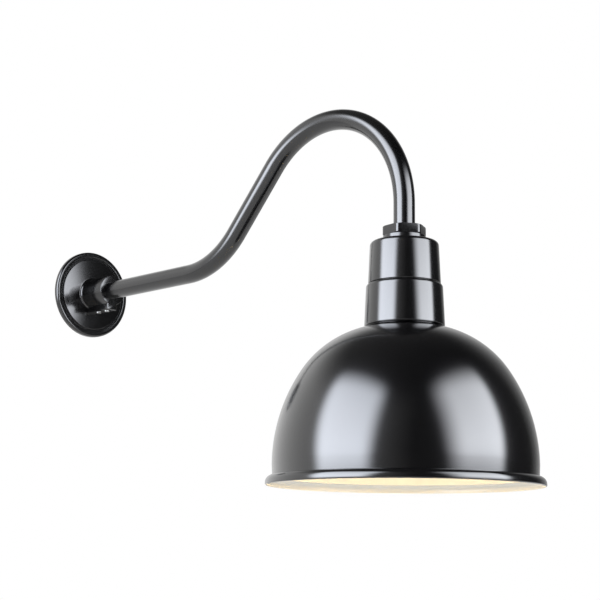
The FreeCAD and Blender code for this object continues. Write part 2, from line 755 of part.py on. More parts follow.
bowl_drop = -neck_shoulder_z - foot + size["collar_show"] + on_crown(collar_r, crown_bow)
place(shade, y=-reach, z=-bowl_drop)
ring_top = neck_shoulder_z + ledge - size["seat_gap"] + bowl_drop
ring_low = ring_top - sheet_t
corner_z = -size["corner_drop"]
corner_in_z = corner_z - sheet_t
flare_z = corner_z - size["rim_flare"]
rim_low = flare_z - size["rim_hem"]
blend_out = (side_centre + side_bow * blend_cos, side_bow * blend_sin)
blend_in = (side_centre + (side_bow - sheet_t) * blend_cos, (side_bow - sheet_t) * blend_sin)
revolve(shade, "shade_spinning", [
    (ring_r, ring_top),
    (collar_r, ring_top),
    (collar_r, on_crown(collar_r, crown_bow), crown_bow, False),
    (blend_out[0], blend_out[1], side_bow, False),
    (bowl_r, 0.0),
    (wall_out, corner_z, size["rim_flare"], False),
    (rim_r, flare_z),
    (rim_r, rim_low),
    (rim_r - sheet_t, rim_low),
    (rim_r - sheet_t, flare_z, size["rim_flare"] - sheet_t, True),
    (wall_out, corner_in_z),
    (wall_in, corner_in_z),
    (bowl_r - sheet_t, 0.0, side_bow - sheet_t, True),
    (blend_in[0], blend_in[1], crown_bow - sheet_t, True),
    (collar_in, on_crown(collar_in, crown_bow - sheet_t)),
    (collar_in, ring_low),
    (ring_r, ring_low),
])
round_rings(shade, "collar_root", size["crown_fillet"], (collar_r, on_crown(collar_r, crown_bow)))
round_rings(shade, "collar_edge", sheet_t * 0.8, (collar_r, ring_top))
shade_hole = new_sketch(shade, "shade_screw_hole", "XY_Plane", ring_top)
circle(shade_hole, shade_screw_r, 0, size["box_screw_d"] / 2 + size["seat_gap"] * 3)
one_hole = pocket(shade, "shade_screw_cut", shade_hole, sheet_t * 2)
polar(shade, "shade_screw_cuts", one_hole, 3)

shade_screws = []
for k in range(3):
    one = screw("shade_screw_%d" % (k + 1), size["pan_head_d"], size["pan_head_rise"],
                size["box_screw_d"], size["shade_screw_length"])
    turn = math.radians(120 * k)
    place(one, shade_screw_r * math.cos(turn), shade_screw_r * math.sin(turn) - reach,
          ring_low - bowl_drop - size["seat_gap"])
    shade_screws.append(one)
keep(group("shade_screws", shade_screws))

# ---------------------------------------------------------------- lampholder

# Glazed porcelain body: a wide block with two screw holes, a collar round the screw
# shell, and a round pocket in its top where the leads enter.
holder = keep(new_body("lampholder_body"))
place(holder, y=-reach, z=mouth_z)
cavity_top = size["shell_depth"] + size["seat_gap"]
pocket_r = size["wire_pocket_d"] / 2
pocket_floor = size["holder_height"] - size["wire_pocket_depth"]
rivet_r = size["rivet_d"] / 2 + size["seat_gap"]
revolve(holder, "porcelain", [
    (cavity_r, 0.0),
    (holder_collar_r, 0.0),
    (holder_collar_r, size["holder_collar_rise"]),
    (holder_r, size["holder_collar_rise"]),
    (holder_r, size["holder_height"]),
    (pocket_r, size["holder_height"]),
    (pocket_r, pocket_floor),
    (rivet_r, pocket_floor),
    (rivet_r, cavity_top),
    (cavity_r, cavity_top),
])
round_rings(holder, "porcelain_edges", size["holder_round"], (holder_r, size["holder_height"]))
round_rings(holder, "porcelain_lips", size["holder_round"] / 3, (holder_collar_r, 0.0),
            (holder_r, size["holder_collar_rise"]))
holder_holes = new_sketch(holder, "holder_holes", "XY_Plane")
for side in (-1.0, 1.0):
    circle(holder_holes, holder_screw_x * side, 0, size["holder_screw_d"] / 2 + size["seat_gap"] * 3)
pocket(holder, "holder_screw_cuts", holder_holes, size["holder_height"] * 2, both_ways=True)

shell = keep(new_body("screw_shell"))
place(shell, y=-reach, z=mouth_z)
shell_r = size["shell_d"] / 2
revolve(shell, "shell_drawn", [
    (shell_r - size["shell_sheet"], size["shell_inset"]),
    (shell_r, size["shell_inset"]),
    (shell_r, size["shell_depth"]),
    (size["tip_d"] / 2 + size["shell_sheet"] * 3, size["shell_depth"]),
    (size["tip_d"] / 2 + size["shell_sheet"] * 3, size["shell_depth"] - size["shell_sheet"]),
    (shell_r - size["shell_sheet"], size["shell_depth"] - size["shell_sheet"]),
])

# The centre contact is a spring leaf on a rivet that runs up into the wire pocket.
contact = keep(new_body("centre_contact"))
place(contact, y=-reach, z=mouth_z)
leaf_r = size["tip_d"] / 2 - size["shell_sheet"]
leaf_low = size["shell_depth"] - size["shell_sheet"] * 2
rivet_head = size["rivet_d"]
revolve(contact, "contact_rivet", [
    (0.0, leaf_low),
    (leaf_r, leaf_low),
    (leaf_r, size["shell_depth"]),
    (size["rivet_d"] / 2, size["shell_depth"]),
    (size["rivet_d"] / 2, pocket_floor + size["seat_gap"]),
    (rivet_head, pocket_floor + size["seat_gap"]),
    (rivet_head, pocket_floor + size["shell_sheet"] * 2),
    (0.0, pocket_floor + size["shell_sheet"] * 2),
])

holder_screws = []
for side in (-1.0, 1.0):
    one = screw("holder_screw_%s" % ("left" if side < 0 else "right"), size["holder_head_d"],
                size["pan_head_rise"], size["holder_screw_d"],
                size["holder_height"] - size["holder_collar_rise"] + size["holder_grip"])
    place(one, holder_screw_x * side, -reach,
          mouth_z + size["holder_collar_rise"] - size["seat_gap"])
    holder_screws.append(one)
keep(group("lampholder_screws", holder_screws))

# ---------------------------------------------------------------- lamp

tip_top = leaf_low - size["seat_gap"] * 3
tip_base = tip_top - size["tip_rise"]
cap_top = tip_base - size["insulator_rise"]
cap_foot = cap_top - size["cap_height"]
cap_r = shell_r - size["shell_sheet"] - size["cap_gap"]
glass_r = size["globe_d"] / 2
glass_neck_r = cap_r - size["shell_sheet"] - size["seat_gap"]
glass_t = size["glass_wall"]
glass_top = cap_foot + size["insulator_rise"]
globe_centre = tip_top - size["lamp_length"] + glass_r

# the hollow curve between the glass's straight neck and the globe touches both
hollow_rise = glass_top - size["glass_neck"] - globe_centre
hollow_bow = (hollow_rise * hollow_rise + glass_neck_r * glass_neck_r - glass_r * glass_r) / (
    (glass_r - glass_neck_r) * 2.0)

cap = keep(new_body("lamp_cap"))
place(cap, y=-reach, z=mouth_z)
revolve(cap, "cap_drawn", [
    (cap_r - size["shell_sheet"], cap_foot),
    (cap_r, cap_foot),
    (cap_r, cap_top - size["shell_sheet"] * 4),
    (cap_r - size["shell_sheet"] * 4, cap_top),
    (cap_r - size["shell_sheet"] * 5, cap_top),
    (cap_r - size["shell_sheet"], cap_top - size["shell_sheet"] * 4),
])

insulator = keep(new_body("lamp_insulator"))
place(insulator, y=-reach, z=mouth_z)
revolve(insulator, "insulator_cone", [
    (0.0, cap_top),
    (cap_r - size["shell_sheet"] * 5, cap_top),
    (size["tip_d"] / 2 + size["shell_sheet"], tip_base),
    (0.0, tip_base),
])

tip = keep(new_body("lamp_contact"))
place(tip, y=-reach, z=mouth_z)
revolve(tip, "contact_button", [
    (0.0, tip_base),
    (size["tip_d"] / 2, tip_base),
    (size["tip_d"] / 2 - size["tip_rise"], tip_top),
    (0.0, tip_top),
])


def glass_curve(wall):
    """Corners of the lamp's outline, shrunk by wall: neck, hollow curve and globe."""
    neck_r = glass_neck_r - wall
    bow = hollow_bow + wall
    globe_r = glass_r - wall
    off = neck_r + bow
    rise = root((globe_r + bow) * (globe_r + bow) - off * off)
    meet_x = off * globe_r / (globe_r + bow)
    meet_z = globe_centre + rise * globe_r / (globe_r + bow)
    return neck_r, bow, globe_r, globe_centre + rise, meet_x, meet_z


outer_glass = glass_curve(as_size(0.0))
inner_glass = glass_curve(glass_t)
globe = keep(new_body("lamp_globe"))
place(globe, y=-reach, z=mouth_z)
revolve(globe, "glass_blown", [
    (inner_glass[0], glass_top),
    (outer_glass[0], glass_top),
    (outer_glass[0], outer_glass[3], outer_glass[1], True),
    (outer_glass[4], outer_glass[5], outer_glass[2], False),
    (outer_glass[2], globe_centre, outer_glass[2], False),
    (0.0, globe_centre - outer_glass[2]),
    (0.0, globe_centre - inner_glass[2], inner_glass[2], True),
    (inner_glass[2], globe_centre, inner_glass[2], True),
    (inner_glass[4], inner_glass[5], inner_glass[1], False),
    (inner_glass[0], inner_glass[3]),
])

# ---------------------------------------------------------------- checks and files

doc.recompute()
for thing in doc.Objects:
    if "Invalid" in thing.State or "Error" in thing.State:
        raise RuntimeError("object failed: %s %s" % (thing.Name, thing.State))
for thing in parts:
    if thing.Shape.isNull() or not thing.Shape.isValid() or not thing.Shape.Solids:
        raise RuntimeError("bad shape: " + thing.Label)

os.makedirs("parts", exist_ok=True)
for thing in parts:
    thing.Shape.exportStep(os.path.join("parts", thing.Label + ".step"))
    box = thing.Shape.BoundBox
    print("%-18s solids %d volume %10.1f  x %7.1f %7.1f  y %7.1f %7.1f  z %7.1f %7.1f" % (
        thing.Label, len(thing.Shape.Solids), thing.Shape.Volume,
        box.XMin, box.XMax, box.YMin, box.YMax, box.ZMin, box.ZMax))
print("reach %.1f mm, shade mouth %.1f mm below the wall axis" % (
    reach.value, bowl_drop.value - rim_low.value))
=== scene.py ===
import math

import bmesh
import bpy
from mathutils import Matrix, Vector


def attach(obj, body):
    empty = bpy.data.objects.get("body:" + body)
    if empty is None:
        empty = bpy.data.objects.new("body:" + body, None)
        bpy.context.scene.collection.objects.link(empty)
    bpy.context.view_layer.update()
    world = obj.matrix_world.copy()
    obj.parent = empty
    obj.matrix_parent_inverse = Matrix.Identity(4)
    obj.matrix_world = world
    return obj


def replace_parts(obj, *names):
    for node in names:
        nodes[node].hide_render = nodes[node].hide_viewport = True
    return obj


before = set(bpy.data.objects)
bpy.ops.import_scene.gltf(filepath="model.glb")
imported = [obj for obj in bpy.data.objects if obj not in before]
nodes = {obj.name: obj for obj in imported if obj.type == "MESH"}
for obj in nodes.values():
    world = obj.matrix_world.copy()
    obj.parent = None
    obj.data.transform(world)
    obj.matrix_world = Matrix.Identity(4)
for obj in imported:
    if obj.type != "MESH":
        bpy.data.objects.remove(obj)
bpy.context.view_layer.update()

# ---------------------------------------------------------------- strap on the outlet box
# A pressed steel bar with a threaded collar for the arm, screwed to the ears of the
# outlet box. It is blanked and pierced from 2.5 mm sheet and zinc plated.

mm = 0.001


def start():
    """Leaves edit mode with nothing selected."""
    if bpy.context.object and bpy.context.object.mode != "OBJECT":
        bpy.ops.object.mode_set(mode="OBJECT")
    bpy.ops.object.select_all(action="DESELECT")


def settle(piece, name):
    """Names a piece and moves its place into its mesh."""
    start()
    piece.name = name
    piece.data.name = name
    piece.select_set(True)
    bpy.context.view_layer.objects.active = piece
    bpy.ops.object.transform_apply(location=True, rotation=True, scale=True)
    return piece


def rod(name, radius, length, spot, turn=(0, 0, 0), sides=64):
    """Round bar whose middle is at spot; it lies along z until it is turned."""
    start()
    bpy.ops.mesh.primitive_cylinder_add(
        vertices=sides, radius=radius, depth=length, location=spot, rotation=turn)
    return settle(bpy.context.object, name)


def block(name, sizes, spot, turn=(0, 0, 0)):
    """Square bar whose middle is at spot."""
    start()
    bpy.ops.mesh.primitive_cube_add(size=1, location=spot, rotation=turn, scale=sizes)
    return settle(bpy.context.object, name)


def machine(piece, tool, how="DIFFERENCE"):
    """Cuts the tool out of a piece, or fuses or intersects the two."""
    work = piece.modifiers.new(how, "BOOLEAN")
    work.operation = how
    work.solver = "EXACT"
    work.object = tool
    start()
    bpy.context.view_layer.objects.active = piece
    bpy.ops.object.modifier_apply(modifier=work.name)
    bpy.data.objects.remove(tool)
    return piece


def break_edges(piece, width, steps=2, angle=35):
    """Bevels every edge that is sharper than the angle."""
    work = piece.modifiers.new("edges", "BEVEL")
    work.width = width
    work.segments = steps
    work.limit_method = "ANGLE"
    work.angle_limit = math.radians(angle)
    work.harden_normals = False
    start()
    bpy.context.view_layer.objects.active = piece
    bpy.ops.object.modifier_apply(modifier=work.name)
    return piece


def smooth(piece, angle=32):
    """Shades a piece smooth, apart from edges that are sharper than the angle."""
    start()
    piece.select_set(True)
    bpy.context.view_layer.objects.active = piece
    bpy.ops.object.shade_smooth_by_angle(angle=math.radians(angle))
    return piece


def round_uprights(piece, width, steps, along, least):
    """Bevels the edges that run along an axis (0, 1 or 2) for more than the least length."""
    start()
    bpy.context.view_layer.objects.active = piece
    bpy.ops.object.mode_set(mode="EDIT")
    bpy.ops.mesh.select_mode(type="EDGE")
    bpy.ops.mesh.select_all(action="DESELECT")
    shape = bmesh.from_edit_mesh(piece.data)
    for edge in shape.edges:
        edge.select = abs(edge.verts[0].co[along] - edge.verts[1].co[along]) > least
    shape.select_flush_mode()
    bmesh.update_edit_mesh(piece.data)
    bpy.ops.mesh.bevel(offset=width, segments=steps, affect="EDGES")
    bpy.ops.object.mode_set(mode="OBJECT")
    return piece


def linear(code):
    """An sRGB hex colour as a linear one."""
    parts = [int(code[k:k + 2], 16) / 255 for k in (1, 3, 5)]
    return [p / 12.92 if p <= 0.04045 else ((p + 0.055) / 1.055) ** 2.4 for p in parts] + [1.0]


def add_node(tree, kind, inputs=(), **settings):
    """Adds a node with its settings; an input takes a value or a link."""
    made = tree.nodes.new(kind)
    for key, value in settings.items():
        setattr(made, key, value)
    for key, value in dict(inputs).items():
        if isinstance(value, bpy.types.NodeSocket):
            tree.links.new(value, made.inputs[key])
        else:
            made.inputs[key].default_value = value
    return made


def new_finish(name, inputs):
    """A material whose constant values sit on the shader; gives its tree, shader and place."""
    finish = bpy.data.materials.new(name)
    finish.use_nodes = True
    tree = finish.node_tree
    shader = tree.nodes["Principled BSDF"]
    for key, value in inputs.items():
        shader.inputs[key].default_value = value
    return finish, tree, shader, add_node(tree, "ShaderNodeTexCoord").outputs["Object"]


def coat(piece, *finishes):
    """Gives a piece its materials."""
    piece.data.materials.clear()
    for finish in finishes:
        piece.data.materials.append(finish)


# Zinc plate over rolled steel: bright, with soft grey clouds about 6 mm wide
zinc, tree, shader, place = new_finish("zinc_plated_steel", {"Metallic": 1.0})
cloud = add_node(tree, "ShaderNodeTexNoise", {
    "Vector": place, "Scale": 1 / (6 * mm), "Detail": 3.0})
tone = add_node(tree, "ShaderNodeMix", {
    0: cloud.outputs[0], 6: linear("#b3b6ba"), 7: linear("#cfd1d3")}, data_type="RGBA")
tree.links.new(tone.outputs[2], shader.inputs["Base Color"])
rough = add_node(tree, "ShaderNodeMapRange", {
    "Value": cloud.outputs[0], "To Min": 0.24, "To Max": 0.40})
tree.links.new(rough.outputs[0], shader.inputs["Roughness"])

box_x = 88.9 / 2 * mm
ground_x = 29.0 * mm
box_hole_r, ground_hole_r = 3.25 * mm, 2.15 * mm
strap_thick = 2.5 * mm
strap_half = box_x + 4.5 * mm
strap_width = 28.0 * mm
strap_collar_r = 16.5 * mm
collar_back, collar_front = 0.5 * mm, 5.1 * mm
tube_r = 12.7 * mm
bore_r = 12.76 * mm
drill = 30 * mm
UP_TO_OUT = (math.radians(90), 0, 0)

strap = block("mounting_strap", (2 * strap_half, strap_thick, strap_width),
              (0, -strap_thick / 2, 0))
round_uprights(strap, strap_width / 2 - 0.02 * mm, 20, 1, strap_thick / 2)
machine(strap, rod("collar", strap_collar_r, collar_front - collar_back,
                   (0, -(collar_front + collar_back) / 2, 0), UP_TO_OUT), "UNION")
machine(strap, rod("thread_hole", bore_r, drill, (0, 0, 0), UP_TO_OUT))
for x, radius in ((-box_x, box_hole_r), (box_x, box_hole_r), (ground_x, ground_hole_r)):
    machine(strap, rod("hole", radius, drill, (x, 0, 0), UP_TO_OUT, 32))
smooth(break_edges(strap, 0.25 * mm))
coat(strap, zinc)
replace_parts(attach(strap, "mount"), "mounting_strap")

# ---------------------------------------------------------------- screws of the strap
# Two pan head machine screws hold the strap to the box, and a green one takes the
# ground wire. They are cold headed steel with rolled threads.


def turned(name, profile, spot, along="Z", steps=96, closed=True):
    """Draws a circle out ring by ring through the profile's (radius, height) pairs."""
    start()
    way = Vector((0, 0, 1)) if along == "Z" else Vector((0, -1, 0))
    turn = (0, 0, 0) if along == "Z" else UP_TO_OUT
    spot = Vector(spot)
    rings = [(max(radius, 0.01 * mm), height) for radius, height in profile]
    bpy.ops.mesh.primitive_circle_add(
        vertices=steps, radius=rings[0][0], location=spot + way * rings[0][1], rotation=turn)
    piece = settle(bpy.context.object, name)
    bpy.ops.object.mode_set(mode="EDIT")
    bpy.ops.mesh.select_all(action="SELECT")
    if closed:
        rings.append(rings[0])
    for (radius, height), (next_radius, next_height) in zip(rings, rings[1:]):
        grow = next_radius / radius
        bpy.ops.mesh.extrude_region_move(
            TRANSFORM_OT_translate={"value": way * (next_height - height)})
        bpy.ops.transform.resize(
            value=(grow, grow, grow), center_override=spot + way * next_height)
    bpy.ops.mesh.select_all(action="SELECT")
    bpy.ops.mesh.remove_doubles(threshold=0.021 * mm)
    bpy.ops.mesh.normals_make_consistent(inside=False)
    bpy.ops.object.mode_set(mode="OBJECT")
    return piece


def round_rings(piece, width, spot, rings, along="Z", steps=4):
    """Bevels the rings of edges at the given (radius, height) pairs."""
    start()
    bpy.context.view_layer.objects.active = piece
    bpy.ops.object.mode_set(mode="EDIT")
    bpy.ops.mesh.select_mode(type="EDGE")
    bpy.ops.mesh.select_all(action="DESELECT")
    shape = bmesh.from_edit_mesh(piece.data)
    for edge in shape.edges:
        for radius, height in rings:
            hits = 0
            for corner in edge.verts:
                off = corner.co - Vector(spot)
                far, up = (math.hypot(off.x, off.y), off.z) if along == "Z" else (
                    math.hypot(off.x, off.z), -off.y)
                hits += abs(far - radius) < 0.01 * mm and abs(up - height) < 0.01 * mm
            if hits == 2:
                edge.select = True
    shape.select_flush_mode()
    bmesh.update_edit_mesh(piece.data)
    bpy.ops.mesh.bevel(offset=width, segments=steps, affect="EDGES")
    bpy.ops.object.mode_set(mode="OBJECT")
    return piece


def merge_into(piece, *others):
    """Joins other meshes to a piece."""
    start()
    for other in others:
        other.select_set(True)
    piece.select_set(True)
    bpy.context.view_layer.objects.active = piece
    bpy.ops.object.join()
    return piece


def thread(radius, depth, pitch, length, spot, turn=(0, 0, 0), sides=4, steps=32):
    """A thread's ridge: a small ring on the crest is swept by the Screw modifier."""
    start()
    bpy.ops.mesh.primitive_circle_add(
        vertices=sides, radius=1.0, location=(0, 0, 0), rotation=UP_TO_OUT)
    ridge = settle(bpy.context.object, "ridge")
    bpy.ops.object.mode_set(mode="EDIT")
    bpy.ops.mesh.select_all(action="SELECT")
    bpy.ops.transform.resize(value=(depth, 1.0, pitch * 0.46), center_override=(0, 0, 0))
    bpy.ops.transform.translate(value=(radius - depth, 0, pitch / 2))
    bpy.ops.object.mode_set(mode="OBJECT")
    sweep = ridge.modifiers.new("sweep", "SCREW")
    turns = max(1, int((length - pitch) / pitch))
    sweep.screw_offset = pitch
    sweep.iterations = turns
    sweep.steps = steps
    sweep.render_steps = steps
    bpy.ops.object.modifier_apply(modifier=sweep.name)
    bpy.ops.object.mode_set(mode="EDIT")
    bpy.ops.mesh.select_all(action="SELECT")
    bpy.ops.mesh.remove_doubles(threshold=0.005 * mm)
    bpy.ops.mesh.fill_holes(sides=sides)
    bpy.ops.mesh.normals_make_consistent(inside=False)
    bpy.ops.object.mode_set(mode="OBJECT")
    ridge.location = spot
    ridge.rotation_euler = turn
    return settle(ridge, "ridge")


def pan_screw(name, head_r, rise, thread_r, length, crossed=True):
    """A screw with its head's underside at the origin and its thread along +z."""
    core = thread_r - 0.35 * mm
    body = turned(name, [
        (0, -rise), (head_r * 0.55, -rise), (head_r * 0.86, -rise * 0.84), (head_r, -rise * 0.45),
        (head_r, 0), (core, 0), (core, length - 0.8 * mm), (core - 0.6 * mm, length), (0, length),
    ], (0, 0, 0), steps=40, closed=False)
    for turn in ((0, math.pi / 2) if crossed else (0,)):
        slot = block("slot", (head_r * (1.1 if crossed else 2.4), head_r * 0.26, rise * 1.1),
                     (0, 0, -rise), (0, 0, turn))
        machine(body, slot)
    merge_into(body, thread(
        thread_r, 0.5 * mm, 0.8 * mm, length - 0.6 * mm, (0, 0, 0.1 * mm), steps=20))
    return smooth(body)


def set_down(model, name, spot, turn=(0, 0, 0)):
    """A copy of a model with its own mesh, turned and put in its place."""
    piece = model.copy()
    piece.data = model.data.copy()
    bpy.context.collection.objects.link(piece)
    piece.location = spot
    piece.rotation_euler = turn
    return settle(piece, name)


INTO_WALL = (math.radians(-90), 0, 0)
seat_gap = 0.1 * mm
head_y = -(strap_thick + seat_gap)
box_head_r, head_rise, box_thread_r = 3.9 * mm, 2.4 * mm, 2.05 * mm
model = pan_screw("screw_model", box_head_r, head_rise, box_thread_r, 16.1 * mm)
strap_screws = set_down(model, "strap_screws", (-box_x, head_y, 0), INTO_WALL)
merge_into(strap_screws, set_down(model, "second", (box_x, head_y, 0), INTO_WALL))
bpy.data.objects.remove(model)
coat(strap_screws, zinc)
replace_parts(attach(strap_screws, "mount"), "strap_screws")

# Green dyed zinc: the clear dye deepens where the plate is thicker, over about 3 mm
green, tree, shader, place = new_finish("green_dyed_zinc", {"Metallic": 0.85, "Roughness": 0.34})
cloud = add_node(tree, "ShaderNodeTexNoise", {
    "Vector": place, "Scale": 1 / (3 * mm), "Detail": 2.0})
tone = add_node(tree, "ShaderNodeMix", {
    0: cloud.outputs[0], 6: linear("#2c7a45"), 7: linear("#46945c")}, data_type="RGBA")
tree.links.new(tone.outputs[2], shader.inputs["Base Color"])
model = pan_screw("screw_model", box_head_r, head_rise, box_thread_r, 9.25 * mm)
ground_screw = set_down(model, "ground_screw", (ground_x, head_y, 0), INTO_WALL)
bpy.data.objects.remove(model)
coat(ground_screw, green)
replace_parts(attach(ground_screw, "mount"), "ground_screw")

# ---------------------------------------------------------------- strap nut
# A thin hexagon nut behind the strap locks the arm's thread. It is cut from bar,
# chamfered on both faces and zinc plated.


def hexagon_nut(name, flats, thick, low, turn, along="Z", corners=0.0):
    """A hexagon prism cut to a chamfered and bored disc; its lower face is at low.

    Only a nut along z can have rounded corners."""
    corner = flats / math.sqrt(3)
    middle = Vector(low) + Vector((0, 0, thick / 2) if along == "Z" else (0, thick / 2, 0))
    nut = rod(name, corner, thick, middle, turn, 6)
    if corners:
        round_uprights(nut, corners, 8, 2, thick / 2)
    chamfer_r = corner - 2.2 * mm
    wide = corner + 1.0 * mm
    slope = (wide - chamfer_r) / 2
    disc = turned("disc", [
        (bore_r, 0), (chamfer_r, 0), (wide, slope), (wide, thick - slope),
        (chamfer_r, thick), (bore_r, thick),
    ], Vector(low) if along == "Z" else Vector(low) + Vector((0, thick, 0)), along)
    machine(nut, disc, "INTERSECT")
    return smooth(break_edges(nut, 0.3 * mm, 3, 25), 25)


strap_nut = hexagon_nut("strap_nut", 34 * mm, 7 * mm, (0, seat_gap, 0),
                        (math.radians(90), math.radians(30), 0), "Y")
coat(strap_nut, zinc)
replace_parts(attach(strap_nut, "strap_nut"), "strap_nut")

# ---------------------------------------------------------------- arm
# One inch steel tube, bent in two arcs of one plane and threaded at both ends. It is
# powder coated in black, which flows out smooth with a faint orange peel.

# Black powder coat: a dark film with a clear top, soft gloss, and peel about 2 mm wide
powder, tree, shader, place = new_finish("black_powder_coat", {
    "IOR": 1.5, "Roughness": 0.16, "Coat Weight": 1.0, "Coat Roughness": 0.15, "Coat IOR": 1.5})
cloud = add_node(tree, "ShaderNodeTexNoise", {
    "Vector": place, "Scale": 1 / (25 * mm), "Detail": 2.0})
tone = add_node(tree, "ShaderNodeMix", {
    0: cloud.outputs[0], 6: linear("#08080a"), 7: linear("#0d0d0f")}, data_type="RGBA")
tree.links.new(tone.outputs[2], shader.inputs["Base Color"])
peel = add_node(tree, "ShaderNodeTexNoise", {"Vector": place, "Scale": 1 / (2 * mm), "Detail": 1.0})
relief = add_node(tree, "ShaderNodeBump", {
    "Height": peel.outputs[0], "Strength": 0.1, "Distance": 0.01 * mm})
tree.links.new(relief.outputs[0], shader.inputs["Normal"])

rise = math.radians(47.4)
bend = 129 * mm
tail = 12 * mm
wall_run = 226.9 * mm
slope_run = 103.4 * mm
reach = wall_run + slope_run * math.cos(rise) + bend * (2 * math.sin(rise) + 1)
slope_top = bend * (1 - math.cos(rise)) + slope_run * math.sin(rise)
drop_top = slope_top - bend * math.cos(rise)
tube_end = drop_top - 62 * mm
thread_root = tube_r - 0.9 * mm
thread_pitch, thread_rise = 1.8 * mm, 0.95 * mm
wall_thread, lamp_thread, thread_step = 5 * mm, 1.5 * mm, 0.4 * mm


def draw_out(*way):
    """Extends the open end of the tube."""
    bpy.ops.mesh.extrude_region_move(TRANSFORM_OT_translate={"value": way})


start()
bpy.ops.mesh.primitive_circle_add(
    vertices=72, radius=thread_root, location=(0, tail, 0), rotation=UP_TO_OUT)
arm = settle(bpy.context.object, "gooseneck_arm")
bpy.ops.object.mode_set(mode="EDIT")
bpy.ops.mesh.select_all(action="SELECT")
draw_out(0, -(tail + wall_thread), 0)
draw_out(0, -thread_step, 0)
grow = tube_r / thread_root
thread_out = wall_thread + thread_step
bpy.ops.transform.resize(value=(grow, grow, grow), center_override=(0, -thread_out, 0))
draw_out(0, -(wall_run - thread_out), 0)
bpy.ops.mesh.spin(steps=40, angle=rise, center=(0, -wall_run, bend), axis=(1, 0, 0))
draw_out(0, -slope_run * math.cos(rise), slope_run * math.sin(rise))
bpy.ops.mesh.spin(
    steps=100, angle=rise + math.pi / 2, center=(0, bend - reach, drop_top), axis=(-1, 0, 0))
draw_out(0, 0, -(drop_top + lamp_thread))
draw_out(0, 0, -thread_step)
grow = thread_root / tube_r
thread_low = lamp_thread + thread_step
bpy.ops.transform.resize(value=(grow, grow, grow), center_override=(0, -reach, -thread_low))
draw_out(0, 0, tube_end + thread_low)
bpy.ops.mesh.select_all(action="SELECT")
bpy.ops.mesh.remove_doubles(threshold=0.005 * mm)
bpy.ops.mesh.normals_make_consistent(inside=False)
bpy.ops.object.mode_set(mode="OBJECT")
wall = arm.modifiers.new("wall", "SOLIDIFY")
wall.thickness = 1.2 * mm
wall.offset = -1
bpy.ops.object.modifier_apply(modifier=wall.name)
merge_into(
    arm,
    thread(tube_r, thread_rise, thread_pitch, tail + wall_thread - thread_step, (0, tail, 0),
           UP_TO_OUT, steps=48),
    thread(tube_r, thread_rise, thread_pitch, -thread_low - tube_end, (0, -reach, tube_end),
           steps=48))
smooth(arm)
coat(arm, powder)
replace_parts(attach(arm, "arm"), "gooseneck_arm")

# ---------------------------------------------------------------- bushings and leads
# Moulded nylon bushings keep the tube's ends off the leads. Two silicone insulated
# leads lie side by side through the tube, one black and one white.

# Moulded nylon: near black and waxy, with a fine spark-eroded grain about 0.4 mm wide
nylon, tree, shader, place = new_finish("black_moulded_nylon", {
    "IOR": 1.53, "Base Color": linear("#1d1d1e")})
grain = add_node(tree, "ShaderNodeTexNoise", {
    "Vector": place, "Scale": 1 / (0.4 * mm), "Detail": 2.0})
rough = add_node(tree, "ShaderNodeMapRange", {
    "Value": grain.outputs[0], "To Min": 0.42, "To Max": 0.58})
tree.links.new(rough.outputs[0], shader.inputs["Roughness"])
relief = add_node(tree, "ShaderNodeBump", {
    "Height": grain.outputs[0], "Strength": 0.3, "Distance": 0.02 * mm})
tree.links.new(relief.outputs[0], shader.inputs["Normal"])

leads = {}
for name, dark, light in (("black_silicone", "#141414", "#1d1d1d"),
                          ("white_silicone", "#dcdbd6", "#e8e7e2")):
    # Extruded silicone: matt, a little cloudy over 4 mm, with talc left on its skin
    finish, tree, shader, place = new_finish(name, {"IOR": 1.42, "Roughness": 0.55})
    cloud = add_node(tree, "ShaderNodeTexNoise", {
        "Vector": place, "Scale": 1 / (4 * mm), "Detail": 3.0})
    tone = add_node(tree, "ShaderNodeMix", {
        0: cloud.outputs[0], 6: linear(dark), 7: linear(light)}, data_type="RGBA")
    tree.links.new(tone.outputs[2], shader.inputs["Base Color"])
    leads[name] = finish

for name, finish in (("wall_bushing", nylon), ("lamp_bushing", nylon),
                     ("line_lead", leads["black_silicone"]),
                     ("neutral_lead", leads["white_silicone"])):
    coat(nodes[name], finish)

# ---------------------------------------------------------------- wall flange
# One iron casting: a disc with a ring groove, a hollow back over the strap, and a long
# hub with a lug under it. It is fettled and then powder coated.

# Powder coat over a casting: the same film, with a slower wave about 9 mm wide
cast, tree, shader, place = new_finish("black_coated_casting", {
    "IOR": 1.5, "Roughness": 0.16, "Coat Weight": 1.0, "Coat Roughness": 0.14, "Coat IOR": 1.5})
cloud = add_node(tree, "ShaderNodeTexNoise", {
    "Vector": place, "Scale": 1 / (20 * mm), "Detail": 3.0})
tone = add_node(tree, "ShaderNodeMix", {
    0: cloud.outputs[0], 6: linear("#09090a"), 7: linear("#0f0f10")}, data_type="RGBA")
tree.links.new(tone.outputs[2], shader.inputs["Base Color"])
wave = add_node(tree, "ShaderNodeTexNoise", {"Vector": place, "Scale": 1 / (9 * mm), "Detail": 2.0})
peel = add_node(tree, "ShaderNodeTexNoise", {
    "Vector": place, "Scale": 1 / (1.6 * mm), "Detail": 1.0})
sum_up = add_node(tree, "ShaderNodeMath", {
    0: peel.outputs[0], 1: 0.05, 2: wave.outputs[0]}, operation="MULTIPLY_ADD")
relief = add_node(tree, "ShaderNodeBump", {
    "Height": sum_up.outputs[0], "Strength": 0.1, "Distance": 0.02 * mm})
tree.links.new(relief.outputs[0], shader.inputs["Normal"])

